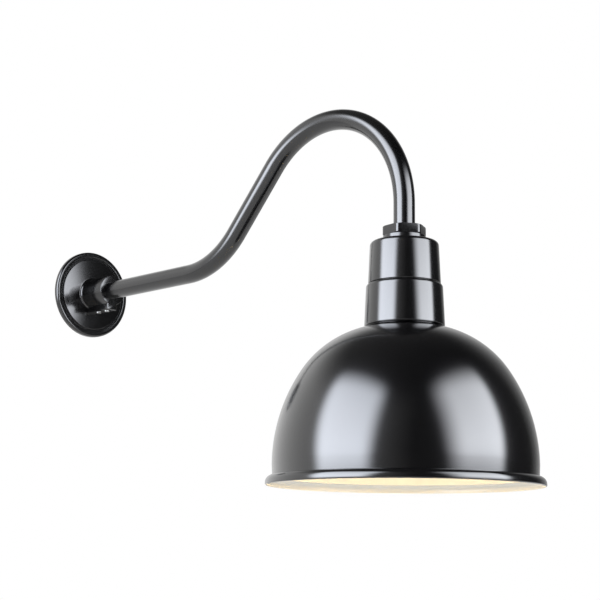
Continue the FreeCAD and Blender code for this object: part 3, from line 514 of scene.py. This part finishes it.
flange_r = 63 * mm
flange_back = 1.5 * mm
hollow = 5.6 * mm
face = 8.2 * mm
recess_r = 50.95 * mm
groove_in, groove_out, groove_floor = 52.0 * mm, 55.8 * mm, 5.8 * mm
hub_r = 21.5 * mm
hub_front = 56 * mm
lug_width, lug_height, lug_z = 16.4 * mm, 12 * mm, -22.7 * mm
rear_out, front_out = 23.9 * mm, 43.4 * mm
flange = turned("wall_flange", [
    (bore_r, hollow), (recess_r, hollow), (recess_r, flange_back), (flange_r, flange_back),
    (flange_r, face), (groove_out, face), (groove_out, groove_floor), (groove_in, groove_floor),
    (groove_in, face), (hub_r, face), (hub_r, hub_front), (bore_r, hub_front),
], (0, 0, 0), "Y", 128)
round_rings(flange, 3.0 * mm, (0, 0, 0), [(flange_r, face)], "Y", 8)
round_rings(flange, 0.8 * mm, (0, 0, 0), [(groove_out, face), (groove_in, face)], "Y", 4)
round_rings(flange, 3.0 * mm, (0, 0, 0), [(hub_r, face)], "Y", 6)
round_rings(flange, 0.6 * mm, (0, 0, 0), [(hub_r, hub_front)], "Y", 3)
lug = block("lug", (lug_width, hub_front - hollow, lug_height),
            (0, -(hub_front + hollow) / 2, lug_z))
machine(flange, break_edges(lug, 1.2 * mm, 4), "UNION")
for out in (rear_out, front_out):
    machine(flange, rod("screw_hole", 4.06 * mm, 20 * mm, (0, -out, lug_z), sides=40))
smooth(flange, 30)
coat(flange, cast)
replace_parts(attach(flange, "flange"), "wall_flange")

# Closed-cell foam gasket: dull, with pores about 0.6 mm wide and painted shade in them
foam, tree, shader, place = new_finish("closed_cell_foam", {"IOR": 1.5, "Roughness": 0.9})
pores_and_painted_shade = add_node(tree, "ShaderNodeTexVoronoi", {"Vector": place, "Scale": 1 / (0.6 * mm)})
# Painted shade: darker toward each pore's pit, where the same field sinks it by the bump
tone = add_node(tree, "ShaderNodeMix", {
    0: pores_and_painted_shade.outputs["Distance"], 6: linear("#151516"), 7: linear("#2e2e30")}, data_type="RGBA")
tree.links.new(tone.outputs[2], shader.inputs["Base Color"])
relief = add_node(tree, "ShaderNodeBump", {
    "Height": pores_and_painted_shade.outputs["Distance"], "Strength": 0.5, "Distance": 0.1 * mm})
tree.links.new(relief.outputs[0], shader.inputs["Normal"])
coat(nodes["flange_gasket"], foam)

# ---------------------------------------------------------------- set screws
# Two headless screws in the lug pinch the flange to the tube. They are turned from
# plain stainless steel, with a chamfer and a hexagon socket.

# Stainless steel: cool grey, with turning marks 0.19 mm apart along the screw. The bands of
# a Wave texture lie 0.314 of its scale's length apart.
stainless, tree, shader, place = new_finish("turned_stainless_steel", {
    "Metallic": 1.0, "Base Color": linear("#bcbcba")})
marks = add_node(tree, "ShaderNodeTexWave", {
    "Vector": place, "Scale": 1 / (0.6 * mm), "Distortion": 0.6}, bands_direction="Z")
rough = add_node(tree, "ShaderNodeMapRange", {
    "Value": marks.outputs[1], "To Min": 0.22, "To Max": 0.38})
tree.links.new(rough.outputs[0], shader.inputs["Roughness"])

screw_low, screw_top = -30.2 * mm, -bore_r
set_thread_r, core = 4 * mm, 3.5 * mm
socket_flats = 4 * mm
for name, body, out in (("set_screw_rear", "rear_set_screw", rear_out),
                        ("set_screw_front", "front_set_screw", front_out)):
    screw = turned(name, [
        (0, screw_low), (3.1 * mm, screw_low), (core, screw_low + 0.5 * mm),
        (core, screw_top - 0.8 * mm), (2.6 * mm, screw_top), (0, screw_top),
    ], (0, -out, 0), steps=48, closed=False)
    machine(screw, rod("socket", socket_flats / math.sqrt(3), 8 * mm,
                       (0, -out, screw_low), sides=6))
    merge_into(screw, thread(
        set_thread_r, 0.6 * mm, 1.25 * mm, 16.0 * mm, (0, -out, screw_low + 0.5 * mm)))
    smooth(screw)
    coat(screw, stainless)
    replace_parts(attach(screw, body), name)

# ---------------------------------------------------------------- lock nut
# The hexagon nut above the neck, cast and machined, with well rounded corners that catch
# the light. It is powder coated like the flange.

shoulder_z = tube_end + 15.3 * mm
boss_rise = 7.2 * mm
lock_nut = hexagon_nut("lock_nut", 46 * mm, 10.8 * mm,
                       (0, -reach, shoulder_z + boss_rise + seat_gap),
                       (0, 0, math.radians(24 + 30)), corners=2.5 * mm)
coat(lock_nut, cast)
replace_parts(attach(lock_nut, "lock_nut"), "lock_nut")

# ---------------------------------------------------------------- neck
# A cast cup in two tapered tiers with rounded shoulders, threaded on the arm. Inside it
# are two posts for the lampholder and three lugs for the shade's screws.

axis = (0, -reach, shoulder_z)
boss_r = 25.2 * mm
foot_r, foot = 46.8 * mm, -101.0 * mm
seat_r, ledge = 43.7 * mm, -87.9 * mm
step_r, tier_r, top_r = 42.4 * mm, 44.6 * mm, 40.2 * mm
step_top, step_low = -50.2 * mm, -50.6 * mm
undercut_r = step_r - 2.2 * mm
cone_foot = seat_r - 2.17 * mm
roof = -4 * mm
sleeve_r, sleeve_low = 19 * mm, -16 * mm
neck = turned("neck", [
    (bore_r, boss_rise), (boss_r, boss_rise), (boss_r, 0), (top_r, 0), (step_r, step_top),
    (undercut_r, step_top), (undercut_r, step_low), (tier_r, step_low), (foot_r, foot),
    (seat_r, foot), (seat_r, ledge), (cone_foot, ledge), (undercut_r - 2.1 * mm, step_low),
    (top_r - 3.1 * mm, roof), (sleeve_r, roof), (sleeve_r, sleeve_low), (bore_r, sleeve_low),
], axis, steps=144)
round_rings(neck, 5.0 * mm, axis, [(top_r, 0)], steps=8)
round_rings(neck, 4.0 * mm, axis, [(tier_r, step_low)], steps=8)
round_rings(neck, 1.0 * mm, axis, [(boss_r, boss_rise)], steps=4)
round_rings(neck, 0.8 * mm, axis, [(step_r, step_top)], steps=4)
round_rings(neck, 2.3 * mm, axis, [(foot_r, foot)], steps=6)

# The posts stand where the lampholder's screw heads just clear its collar
cavity_r, holder_collar_r, holder_head_r = 14.2 * mm, 17.6 * mm, 3.3 * mm
holder_x = holder_collar_r + 0.3 * mm + holder_head_r
post_top, post_low = shoulder_z - 2 * mm, shoulder_z - 34 * mm
for side in (-1, 1):
    post = rod("post", 4.6 * mm, post_top - post_low,
               (holder_x * side, -reach, (post_top + post_low) / 2), sides=48)
    machine(post, rod("tap", 1.81 * mm, drill, (holder_x * side, -reach, post_low), sides=24))
    merge_into(neck, break_edges(post, 0.3 * mm))


def around(far, turn, height):
    """A spot beside the shade's axis: how far from it, in which direction and how high."""
    return far * math.cos(turn), far * math.sin(turn) - reach, height


thirds = [math.radians(120 * k) for k in range(3)]
screw_ring = seat_r - 5.7 * mm
ear_long, ear_wide, ear_high = 10.3 * mm, 12 * mm, 13 * mm
ear_far = cone_foot + 0.8 * mm - ear_long / 2
for turn in thirds:
    ear = block("ear", (ear_long, ear_wide, ear_high),
                around(ear_far, turn, shoulder_z + ledge + ear_high / 2), (0, 0, turn))
    machine(ear, rod("tap", 2.11 * mm, drill,
                     around(screw_ring, turn, shoulder_z + ledge), sides=24))
    merge_into(neck, break_edges(ear, 0.5 * mm))
smooth(neck, 30)
coat(neck, powder)
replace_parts(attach(neck, "shade"), "neck")

# ---------------------------------------------------------------- shade
# One steel sheet spun over a former: a collar, a dome of two arcs and a flared rim with
# a turned edge. It is powder coated black outside and enamelled white inside.


def arc(centre_x, centre_z, radius, first, last, count):
    """Points of a profile's arc between two angles, in degrees."""
    angles = [math.radians(first + (last - first) * k / count) for k in range(count + 1)]
    return [(centre_x + radius * math.cos(a), centre_z + radius * math.sin(a)) for a in angles]


# The crown's arc runs into the side's arc at the blend angle, with one tangent
sheet = 1.5 * mm
bowl_r, side_bow, crown_bow = 151.55 * mm, 194.6 * mm, 119.1 * mm
blend = 33.3
side_x = bowl_r - side_bow
crown_x = side_x + (side_bow - crown_bow) * math.cos(math.radians(blend))
crown_z = (side_bow - crown_bow) * math.sin(math.radians(blend))
collar_r = seat_r - seat_gap
ring_r = seat_r - 10.7 * mm
rim_r, rim_round = 159 * mm, 1.3 * mm
flare = 8 * mm
wall_r = rim_r - flare
flare_top, lip = -12.6 * mm, -23.6 * mm


def crown_angle(x, bow):
    """The angle at which an arc about the crown's centre is x from the axis, in degrees."""
    return math.degrees(math.acos((x - crown_x) / bow))


collar_root = crown_z + crown_bow * math.sin(math.radians(crown_angle(collar_r, crown_bow)))
bowl_z = shoulder_z + foot - 1.2 * mm - collar_root
ring_top = shoulder_z + ledge - seat_gap - bowl_z
inner_crown, inner_side = crown_bow - sheet, side_bow - sheet
profile = [(ring_r, ring_top), (collar_r, ring_top)]
profile += arc(crown_x, crown_z, crown_bow, crown_angle(collar_r, crown_bow), blend, 30)
profile += arc(side_x, 0, side_bow, blend, 0, 24)[1:]
profile += arc(wall_r, flare_top - flare, flare, 90, 0, 8)
profile += arc(rim_r - rim_round, lip + rim_round, rim_round, 0, -90, 6)
profile += [(rim_r - sheet, lip)]
profile += arc(wall_r, flare_top - flare, flare - sheet, 0, 90, 8)
profile += [(wall_r - sheet, flare_top - sheet)]
profile += arc(side_x, 0, inner_side, 0, blend, 24)
profile += arc(crown_x, crown_z, inner_crown, blend,
               crown_angle(collar_r - sheet, inner_crown), 30)[1:]
profile += [(collar_r - sheet, ring_top - sheet), (ring_r, ring_top - sheet)]
bowl_axis = (0, -reach, bowl_z)
shade = turned("shade", profile, bowl_axis, steps=192)
round_rings(shade, 1.2 * mm, bowl_axis, [(collar_r, collar_root)], steps=4)
round_rings(shade, 1.1 * mm, bowl_axis, [(collar_r, ring_top)], steps=4)
for turn in thirds:
    machine(shade, rod("hole", 2.35 * mm, 10 * mm,
                       around(screw_ring, turn, bowl_z + ring_top), sides=32))

# White enamel: fired glass on steel, warm white, glossy, with a slow ripple 12 mm wide
enamel, tree, shader, place = new_finish("white_fired_enamel", {
    "IOR": 1.5, "Roughness": 0.16, "Coat Weight": 0.5, "Coat Roughness": 0.08})
ripple = add_node(tree, "ShaderNodeTexNoise", {
    "Vector": place, "Scale": 1 / (12 * mm), "Detail": 2.0})
tone = add_node(tree, "ShaderNodeMix", {
    0: ripple.outputs[0], 6: linear("#ece9df"), 7: linear("#f4f2ea")}, data_type="RGBA")
tree.links.new(tone.outputs[2], shader.inputs["Base Color"])
relief = add_node(tree, "ShaderNodeBump", {
    "Height": ripple.outputs[0], "Strength": 0.3, "Distance": 0.05 * mm})
tree.links.new(relief.outputs[0], shader.inputs["Normal"])
coat(shade, powder, enamel)

# Enamel where the sheet faces a point under the mouth; the black coat wraps the rim's edge
below = Vector((0, -reach, -450 * mm))
for facet in shade.data.polygons:
    off = facet.center - Vector(bowl_axis)
    wrapped = math.hypot(off.x, off.y) > rim_r - rim_round
    inside = facet.normal.dot(facet.center - below) < 0
    facet.material_index = 1 if inside and not wrapped else 0
smooth(shade, 30)
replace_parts(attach(shade, "shade"), "shade")

model = pan_screw("screw_model", box_head_r, head_rise, box_thread_r, 11 * mm)
head_z = bowl_z + ring_top - sheet - seat_gap
shade_screws = set_down(model, "shade_screws", around(screw_ring, thirds[0], head_z))
for turn in thirds[1:]:
    merge_into(shade_screws, set_down(model, "another", around(screw_ring, turn, head_z)))
bpy.data.objects.remove(model)
coat(shade_screws, zinc)
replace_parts(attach(shade_screws, "shade"), "shade_screws")

# ---------------------------------------------------------------- lampholder
# A pressed porcelain body with a white glaze carries a brass screw shell and a spring
# centre contact. Two long screws fix it to the neck's posts.

# Glazed porcelain: a grey-white body under clear glass, with a slow ripple 8 mm wide
glaze, tree, shader, place = new_finish("glazed_porcelain", {
    "IOR": 1.5, "Roughness": 0.2, "Coat Weight": 1.0, "Coat Roughness": 0.04})
ripple = add_node(tree, "ShaderNodeTexNoise", {
    "Vector": place, "Scale": 1 / (8 * mm), "Detail": 2.0})
tone = add_node(tree, "ShaderNodeMix", {
    0: ripple.outputs[0], 6: linear("#e3e0d6"), 7: linear("#efede5")}, data_type="RGBA")
tree.links.new(tone.outputs[2], shader.inputs["Base Color"])
relief = add_node(tree, "ShaderNodeBump", {
    "Height": ripple.outputs[0], "Strength": 0.3, "Distance": 0.06 * mm})
tree.links.new(relief.outputs[0], shader.inputs["Normal"])

mouth_z = shoulder_z - 94.1 * mm
holder_axis = (0, -reach, mouth_z)
holder_r, holder_step, holder_top = 26.0 * mm, 24 * mm, 60 * mm
pocket_r, pocket_floor = 7 * mm, 50 * mm
rivet_hole_r, cavity_top = 1.6 * mm, 27.1 * mm
holder = turned("lampholder_body", [
    (cavity_r, 0), (holder_collar_r, 0), (holder_collar_r, holder_step), (holder_r, holder_step),
    (holder_r, holder_top), (pocket_r, holder_top), (pocket_r, pocket_floor),
    (rivet_hole_r, pocket_floor), (rivet_hole_r, cavity_top), (cavity_r, cavity_top),
], holder_axis, steps=96)
round_rings(holder, 3.0 * mm, holder_axis, [(holder_r, holder_top)], steps=6)
round_rings(holder, 1.0 * mm, holder_axis, [(holder_collar_r, 0), (holder_r, holder_step)], steps=4)
for side in (-1, 1):
    machine(holder, rod("hole", 2.05 * mm, 90 * mm,
                        (holder_x * side, -reach, mouth_z + 40 * mm), sides=32))
smooth(holder, 30)
coat(holder, glaze)
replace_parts(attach(holder, "shade"), "lampholder_body")

# Drawn brass: bright yellow, with lines of the drawing 0.31 mm apart round the shell
brass, tree, shader, place = new_finish("drawn_brass", {
    "Metallic": 1.0, "Base Color": linear("#d9b56a")})
lines = add_node(tree, "ShaderNodeTexWave", {
    "Vector": place, "Scale": 1 / (1.0 * mm), "Distortion": 1.0}, bands_direction="Z")
rough = add_node(tree, "ShaderNodeMapRange", {
    "Value": lines.outputs[1], "To Min": 0.20, "To Max": 0.34})
tree.links.new(rough.outputs[0], shader.inputs["Roughness"])
shell_r, shell_sheet, shell_hole_r = 14.1 * mm, 0.5 * mm, 6.3 * mm
shell_inside = shell_r - shell_sheet
shell_low, shell_top = 1.5 * mm, 27 * mm
shell_thread, lamp_pitch = 0.45 * mm, 3.6 * mm
shell = turned("screw_shell", [
    (shell_inside, shell_low), (shell_r, shell_low), (shell_r, shell_top),
    (shell_hole_r, shell_top), (shell_hole_r, shell_top - shell_sheet),
    (shell_inside, shell_top - shell_sheet),
], holder_axis, steps=72)
merge_into(shell, thread(shell_inside + shell_thread, shell_thread, lamp_pitch, 21 * mm,
                         (0, -reach, mouth_z + 2.5 * mm), sides=12, steps=48))
smooth(shell)
coat(shell, brass)
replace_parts(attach(shell, "shade"), "screw_shell")
coat(nodes["centre_contact"], brass)

model = pan_screw("screw_model", holder_head_r, head_rise, 1.75 * mm, 48 * mm, False)
head_z = mouth_z + holder_step - seat_gap
holder_screws = set_down(model, "lampholder_screws", (-holder_x, -reach, head_z))
merge_into(holder_screws, set_down(model, "second", (holder_x, -reach, head_z)))
bpy.data.objects.remove(model)
coat(holder_screws, zinc)
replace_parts(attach(holder_screws, "shade"), "lampholder_screws")

# ---------------------------------------------------------------- lamp
# A screw-base lamp: a rolled aluminium cap, a black glass insulator with a solder
# contact, and a blown globe that is etched inside and glows warm white.

# Rolled aluminium: pale and satin, with rolling lines 0.25 mm apart round the cap
aluminium, tree, shader, place = new_finish("rolled_aluminium", {
    "Metallic": 1.0, "Base Color": linear("#c9cacb")})
lines = add_node(tree, "ShaderNodeTexWave", {
    "Vector": place, "Scale": 1 / (0.8 * mm), "Distortion": 0.8}, bands_direction="Z")
rough = add_node(tree, "ShaderNodeMapRange", {
    "Value": lines.outputs[1], "To Min": 0.26, "To Max": 0.40})
tree.links.new(rough.outputs[0], shader.inputs["Roughness"])

cap_r = 13.1 * mm
cap_root, cap_inside = cap_r - 0.5 * mm, cap_r - 1.0 * mm
tip_top = 25.7 * mm
contact_high, insulator_high = 1.5 * mm, 3.2 * mm
cap_top = tip_top - contact_high - insulator_high
cap_foot = cap_top - 22 * mm
taper, taper_low = 1.5 * mm, cap_top - 2 * mm
cap = turned("lamp_cap", [
    (cap_inside, cap_foot), (cap_root, cap_foot), (cap_root, taper_low),
    (cap_root - taper, cap_top), (cap_inside - taper, cap_top), (cap_inside, taper_low),
], holder_axis, steps=72)
merge_into(cap, thread(cap_r, cap_r - cap_root, lamp_pitch, 19 * mm,
                       (0, -reach, mouth_z + cap_foot + 0.6 * mm), sides=12, steps=48))
smooth(cap)
coat(cap, aluminium)
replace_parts(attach(cap, "lamp"), "lamp_cap")

# Black glass insulator: cast and glossy, with flow lines about 3 mm wide
vitrite, tree, shader, place = new_finish("black_cast_glass", {"IOR": 1.52, "Roughness": 0.08})
flow = add_node(tree, "ShaderNodeTexNoise", {
    "Vector": place, "Scale": 1 / (3 * mm), "Distortion": 1.0})
tone = add_node(tree, "ShaderNodeMix", {
    0: flow.outputs[0], 6: linear("#0a0a0c"), 7: linear("#18161c")}, data_type="RGBA")
tree.links.new(tone.outputs[2], shader.inputs["Base Color"])
coat(nodes["lamp_insulator"], vitrite)

# Solder: a dull grey bead, with a frosty grain about 1 mm wide
solder, tree, shader, place = new_finish("tin_solder", {
    "Metallic": 1.0, "Base Color": linear("#a9aaa6")})
grain = add_node(tree, "ShaderNodeTexNoise", {
    "Vector": place, "Scale": 1 / (1 * mm), "Detail": 3.0})
rough = add_node(tree, "ShaderNodeMapRange", {
    "Value": grain.outputs[0], "To Min": 0.30, "To Max": 0.55})
tree.links.new(rough.outputs[0], shader.inputs["Roughness"])
coat(nodes["lamp_contact"], solder)

# Etched glass: a soft white skin that glows, least at its neck, where it has a third of
# the brightness of its lower end
frosted, tree, shader, place = new_finish("etched_lamp_glass", {
    "IOR": 1.5, "Roughness": 0.45, "Emission Color": linear("#ffdda4")})
etch = add_node(tree, "ShaderNodeTexNoise", {
    "Vector": place, "Scale": 1 / (0.5 * mm), "Detail": 2.0})
tone = add_node(tree, "ShaderNodeMix", {
    0: etch.outputs[0], 6: linear("#f0eadb"), 7: linear("#faf5e8")}, data_type="RGBA")
tree.links.new(tone.outputs[2], shader.inputs["Base Color"])
height = add_node(tree, "ShaderNodeSeparateXYZ", {0: place})
glow = add_node(tree, "ShaderNodeMapRange", {
    "Value": height.outputs[2], "From Min": -165 * mm, "From Max": -95 * mm,
    "To Min": 13.0, "To Max": 4.0})
tree.links.new(glow.outputs[0], shader.inputs["Emission Strength"])

lamp_long = 110 * mm
globe_r = 30 * mm
glass = 0.9 * mm
glass_neck_r = cap_r - 0.6 * mm
glass_top = cap_foot + 3.2 * mm
globe_z = tip_top - lamp_long + globe_r
hollow_rise = glass_top - 10 * mm - globe_z
hollow_bow = ((hollow_rise ** 2 + glass_neck_r ** 2 - globe_r ** 2)
              / (2 * (globe_r - glass_neck_r)))


def glass_line(wall):
    """Neck, hollow curve and globe of the glass, shrunk by its wall, from the top down."""
    neck_r, bow, ball = glass_neck_r - wall, hollow_bow + wall, globe_r - wall
    off = neck_r + bow
    rise_up = math.sqrt((ball + bow) ** 2 - off ** 2)
    angle = math.degrees(math.atan2(rise_up, off))
    line = [(neck_r, glass_top)]
    line += arc(off, globe_z + rise_up, bow, 180, 180 + angle, 16)
    line += arc(0, globe_z, ball, angle, -90, 48)[1:]
    return line


globe = turned("lamp_globe", glass_line(0.0) + glass_line(glass)[::-1], holder_axis, steps=96)
smooth(globe, 40)
coat(globe, frosted)
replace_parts(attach(globe, "lamp"), "lamp_globe")

# ---------------------------------------------------------------- floor, lamps and camera
# A pale studio floor far under the wall light, a soft box on each side of the camera, and
# a white backdrop behind. In the gloss the backdrop fades toward the camera and overhead.

start()
bpy.ops.mesh.primitive_plane_add(size=8.0, location=(0, -0.4, -0.9))
floor = settle(bpy.context.object, "floor")
paper, tree, shader, place = new_finish("pale_studio_floor", {"Roughness": 0.9})
fibre = add_node(tree, "ShaderNodeTexNoise", {"Vector": place, "Scale": 30.0, "Detail": 2.0})
tone = add_node(tree, "ShaderNodeMix", {
    0: fibre.outputs[0], 6: linear("#eeeeee"), 7: linear("#f4f4f4")}, data_type="RGBA")
tree.links.new(tone.outputs[2], shader.inputs["Base Color"])
coat(floor, paper)

aim = Vector((0, -0.55, -0.15))


def studio_lamp(name, azimuth, elevation, far, width, height, level):
    """A rectangular lamp of a given brightness that faces the object.

    Its azimuth is in degrees from +Y toward +X, and its distance and sizes are in metres."""
    a, e = math.radians(azimuth), math.radians(elevation)
    way = Vector((math.sin(a) * math.cos(e), math.cos(a) * math.cos(e), math.sin(e)))
    lamp = bpy.data.lights.new(name, "AREA")
    lamp.shape = "RECTANGLE"
    lamp.size = width
    lamp.size_y = height
    lamp.energy = math.pi * level * width * height
    stand = bpy.data.objects.new(name, lamp)
    bpy.context.collection.objects.link(stand)
    stand.location = aim + way * far
    stand.rotation_euler = way.to_track_quat("Z", "Y").to_euler()
    stand.visible_camera = False
    return stand


def soft_box(name, azimuth, elevation, far, width, height, level, fade, top_level, tint):
    """A diffuser that the gloss sees: bright in its middle, dark at its rim, dimmer to its top.

    The fades are shares over which it grows bright, from both ends of its width and height."""
    stand = studio_lamp(name, azimuth, elevation, far, width, height, level)
    stand.visible_diffuse = False
    stand.data.color = tint
    stand.data.use_nodes = True
    tree = stand.data.node_tree
    place = add_node(tree, "ShaderNodeNewGeometry").outputs["Parametric"]
    over = add_node(tree, "ShaderNodeSeparateXYZ", {0: place})
    bright = 1.0
    for way, low, high in ((0, fade[0], fade[1]), (1, fade[2], fade[3])):
        rise_in = add_node(tree, "ShaderNodeMapRange", {
            "Value": over.outputs[way], "From Min": 0.0, "From Max": low},
            interpolation_type="SMOOTHSTEP")
        fall_out = add_node(tree, "ShaderNodeMapRange", {
            "Value": over.outputs[way], "From Min": 1.0 - high, "From Max": 1.0,
            "To Min": 1.0, "To Max": 0.0}, interpolation_type="SMOOTHSTEP")
        both = add_node(tree, "ShaderNodeMath", {
            0: rise_in.outputs[0], 1: fall_out.outputs[0]}, operation="MULTIPLY")
        bright = add_node(tree, "ShaderNodeMath", {
            0: both.outputs[0], 1: bright}, operation="MULTIPLY").outputs[0]
    dim = add_node(tree, "ShaderNodeMapRange", {
        "Value": over.outputs[1], "From Min": 0.35, "From Max": 1.0,
        "To Min": 1.0, "To Max": top_level})
    bright = add_node(tree, "ShaderNodeMath", {
        0: bright, 1: dim.outputs[0]}, operation="MULTIPLY").outputs[0]
    tree.links.new(bright, tree.nodes["Emission"].inputs["Strength"])
    return stand


soft_box("left_box", -79, 21, 2.4, 3.0, 3.45, level=9.2,
         fade=(0.24, 0.25, 0.28, 0.24), top_level=0.6, tint=(0.857, 0.903, 1.0))
soft_box("right_box", 169.5, 19, 1.2, 1.45, 1.6, level=8.2,
         fade=(0.38, 0.18, 0.29, 0.28), top_level=0.5, tint=(0.909, 0.938, 1.0))

# Two plain lamps that light the matt surfaces and do not show in the gloss
for lamp in (studio_lamp("key", -100, 40, 2.4, 1.6, 1.6, 1.0),
             studio_lamp("fill", 150, 20, 2.6, 1.6, 1.6, 0.6)):
    lamp.visible_glossy = False

# White to the camera and to transmitted rays, and an even 0.75 on matt surfaces. In the
# gloss it is brightest behind the wall light, and dark toward the camera and overhead.
world = bpy.data.worlds.new("studio")
world.use_nodes = True
bpy.context.scene.world = world
tree = world.node_tree
tree.nodes.clear()
seen = add_node(tree, "ShaderNodeTexCoord").outputs["Generated"]
ray = add_node(tree, "ShaderNodeLightPath")
behind = add_node(tree, "ShaderNodeVectorMath", {
    0: seen, 1: (-0.342, 0.940, 0.0)}, operation="DOT_PRODUCT")
backdrop = add_node(tree, "ShaderNodeMapRange", {
    "Value": behind.outputs["Value"], "From Min": -0.45, "From Max": 1.0,
    "To Min": 0.03, "To Max": 0.97})
split = add_node(tree, "ShaderNodeSeparateXYZ", {0: seen})
overhead = add_node(tree, "ShaderNodeMapRange", {
    "Value": split.outputs[2], "From Min": 0.5, "From Max": 0.85,
    "To Min": 1.0, "To Max": 0.15}, interpolation_type="SMOOTHSTEP")
gloss_level = add_node(tree, "ShaderNodeMath", {
    0: backdrop.outputs[0], 1: overhead.outputs[0]}, operation="MULTIPLY")
mirror = add_node(tree, "ShaderNodeMix", {
    0: ray.outputs["Is Glossy Ray"], 2: 0.75, 3: gloss_level.outputs[0]}, data_type="FLOAT")
white = add_node(tree, "ShaderNodeMath", {
    0: ray.outputs["Is Camera Ray"], 1: ray.outputs["Is Transmission Ray"]}, operation="MAXIMUM")
level = add_node(tree, "ShaderNodeMix", {
    0: white.outputs[0], 2: mirror.outputs[0], 3: 1.0}, data_type="FLOAT")
light = add_node(tree, "ShaderNodeBackground", {
    "Color": (1.0, 1.0, 1.0, 1.0), "Strength": level.outputs[0]})
add_node(tree, "ShaderNodeOutputWorld", {"Surface": light.outputs[0]})

view = bpy.data.cameras.new("camera")
view.sensor_width = 36.0
view.lens = 83.90
view.shift_x = -0.00083
view.shift_y = 0.00083
camera = bpy.data.objects.new("camera", view)
bpy.context.collection.objects.link(camera)
right = Vector((0.7093219, -0.70480007, 0.01092216))
up = Vector((-0.13833672, -0.1239972, 0.98259231))
back = Vector((-0.69117682, -0.69848518, -0.18545366))
eye = Vector((-1208.96 * mm, -1665.74 * mm, -388.33 * mm))
camera.matrix_world = Matrix((
    (right.x, up.x, back.x, eye.x), (right.y, up.y, back.y, eye.y),
    (right.z, up.z, back.z, eye.z), (0, 0, 0, 1)))
bpy.context.scene.camera = camera
bpy.context.scene.view_settings.view_transform = "Standard"
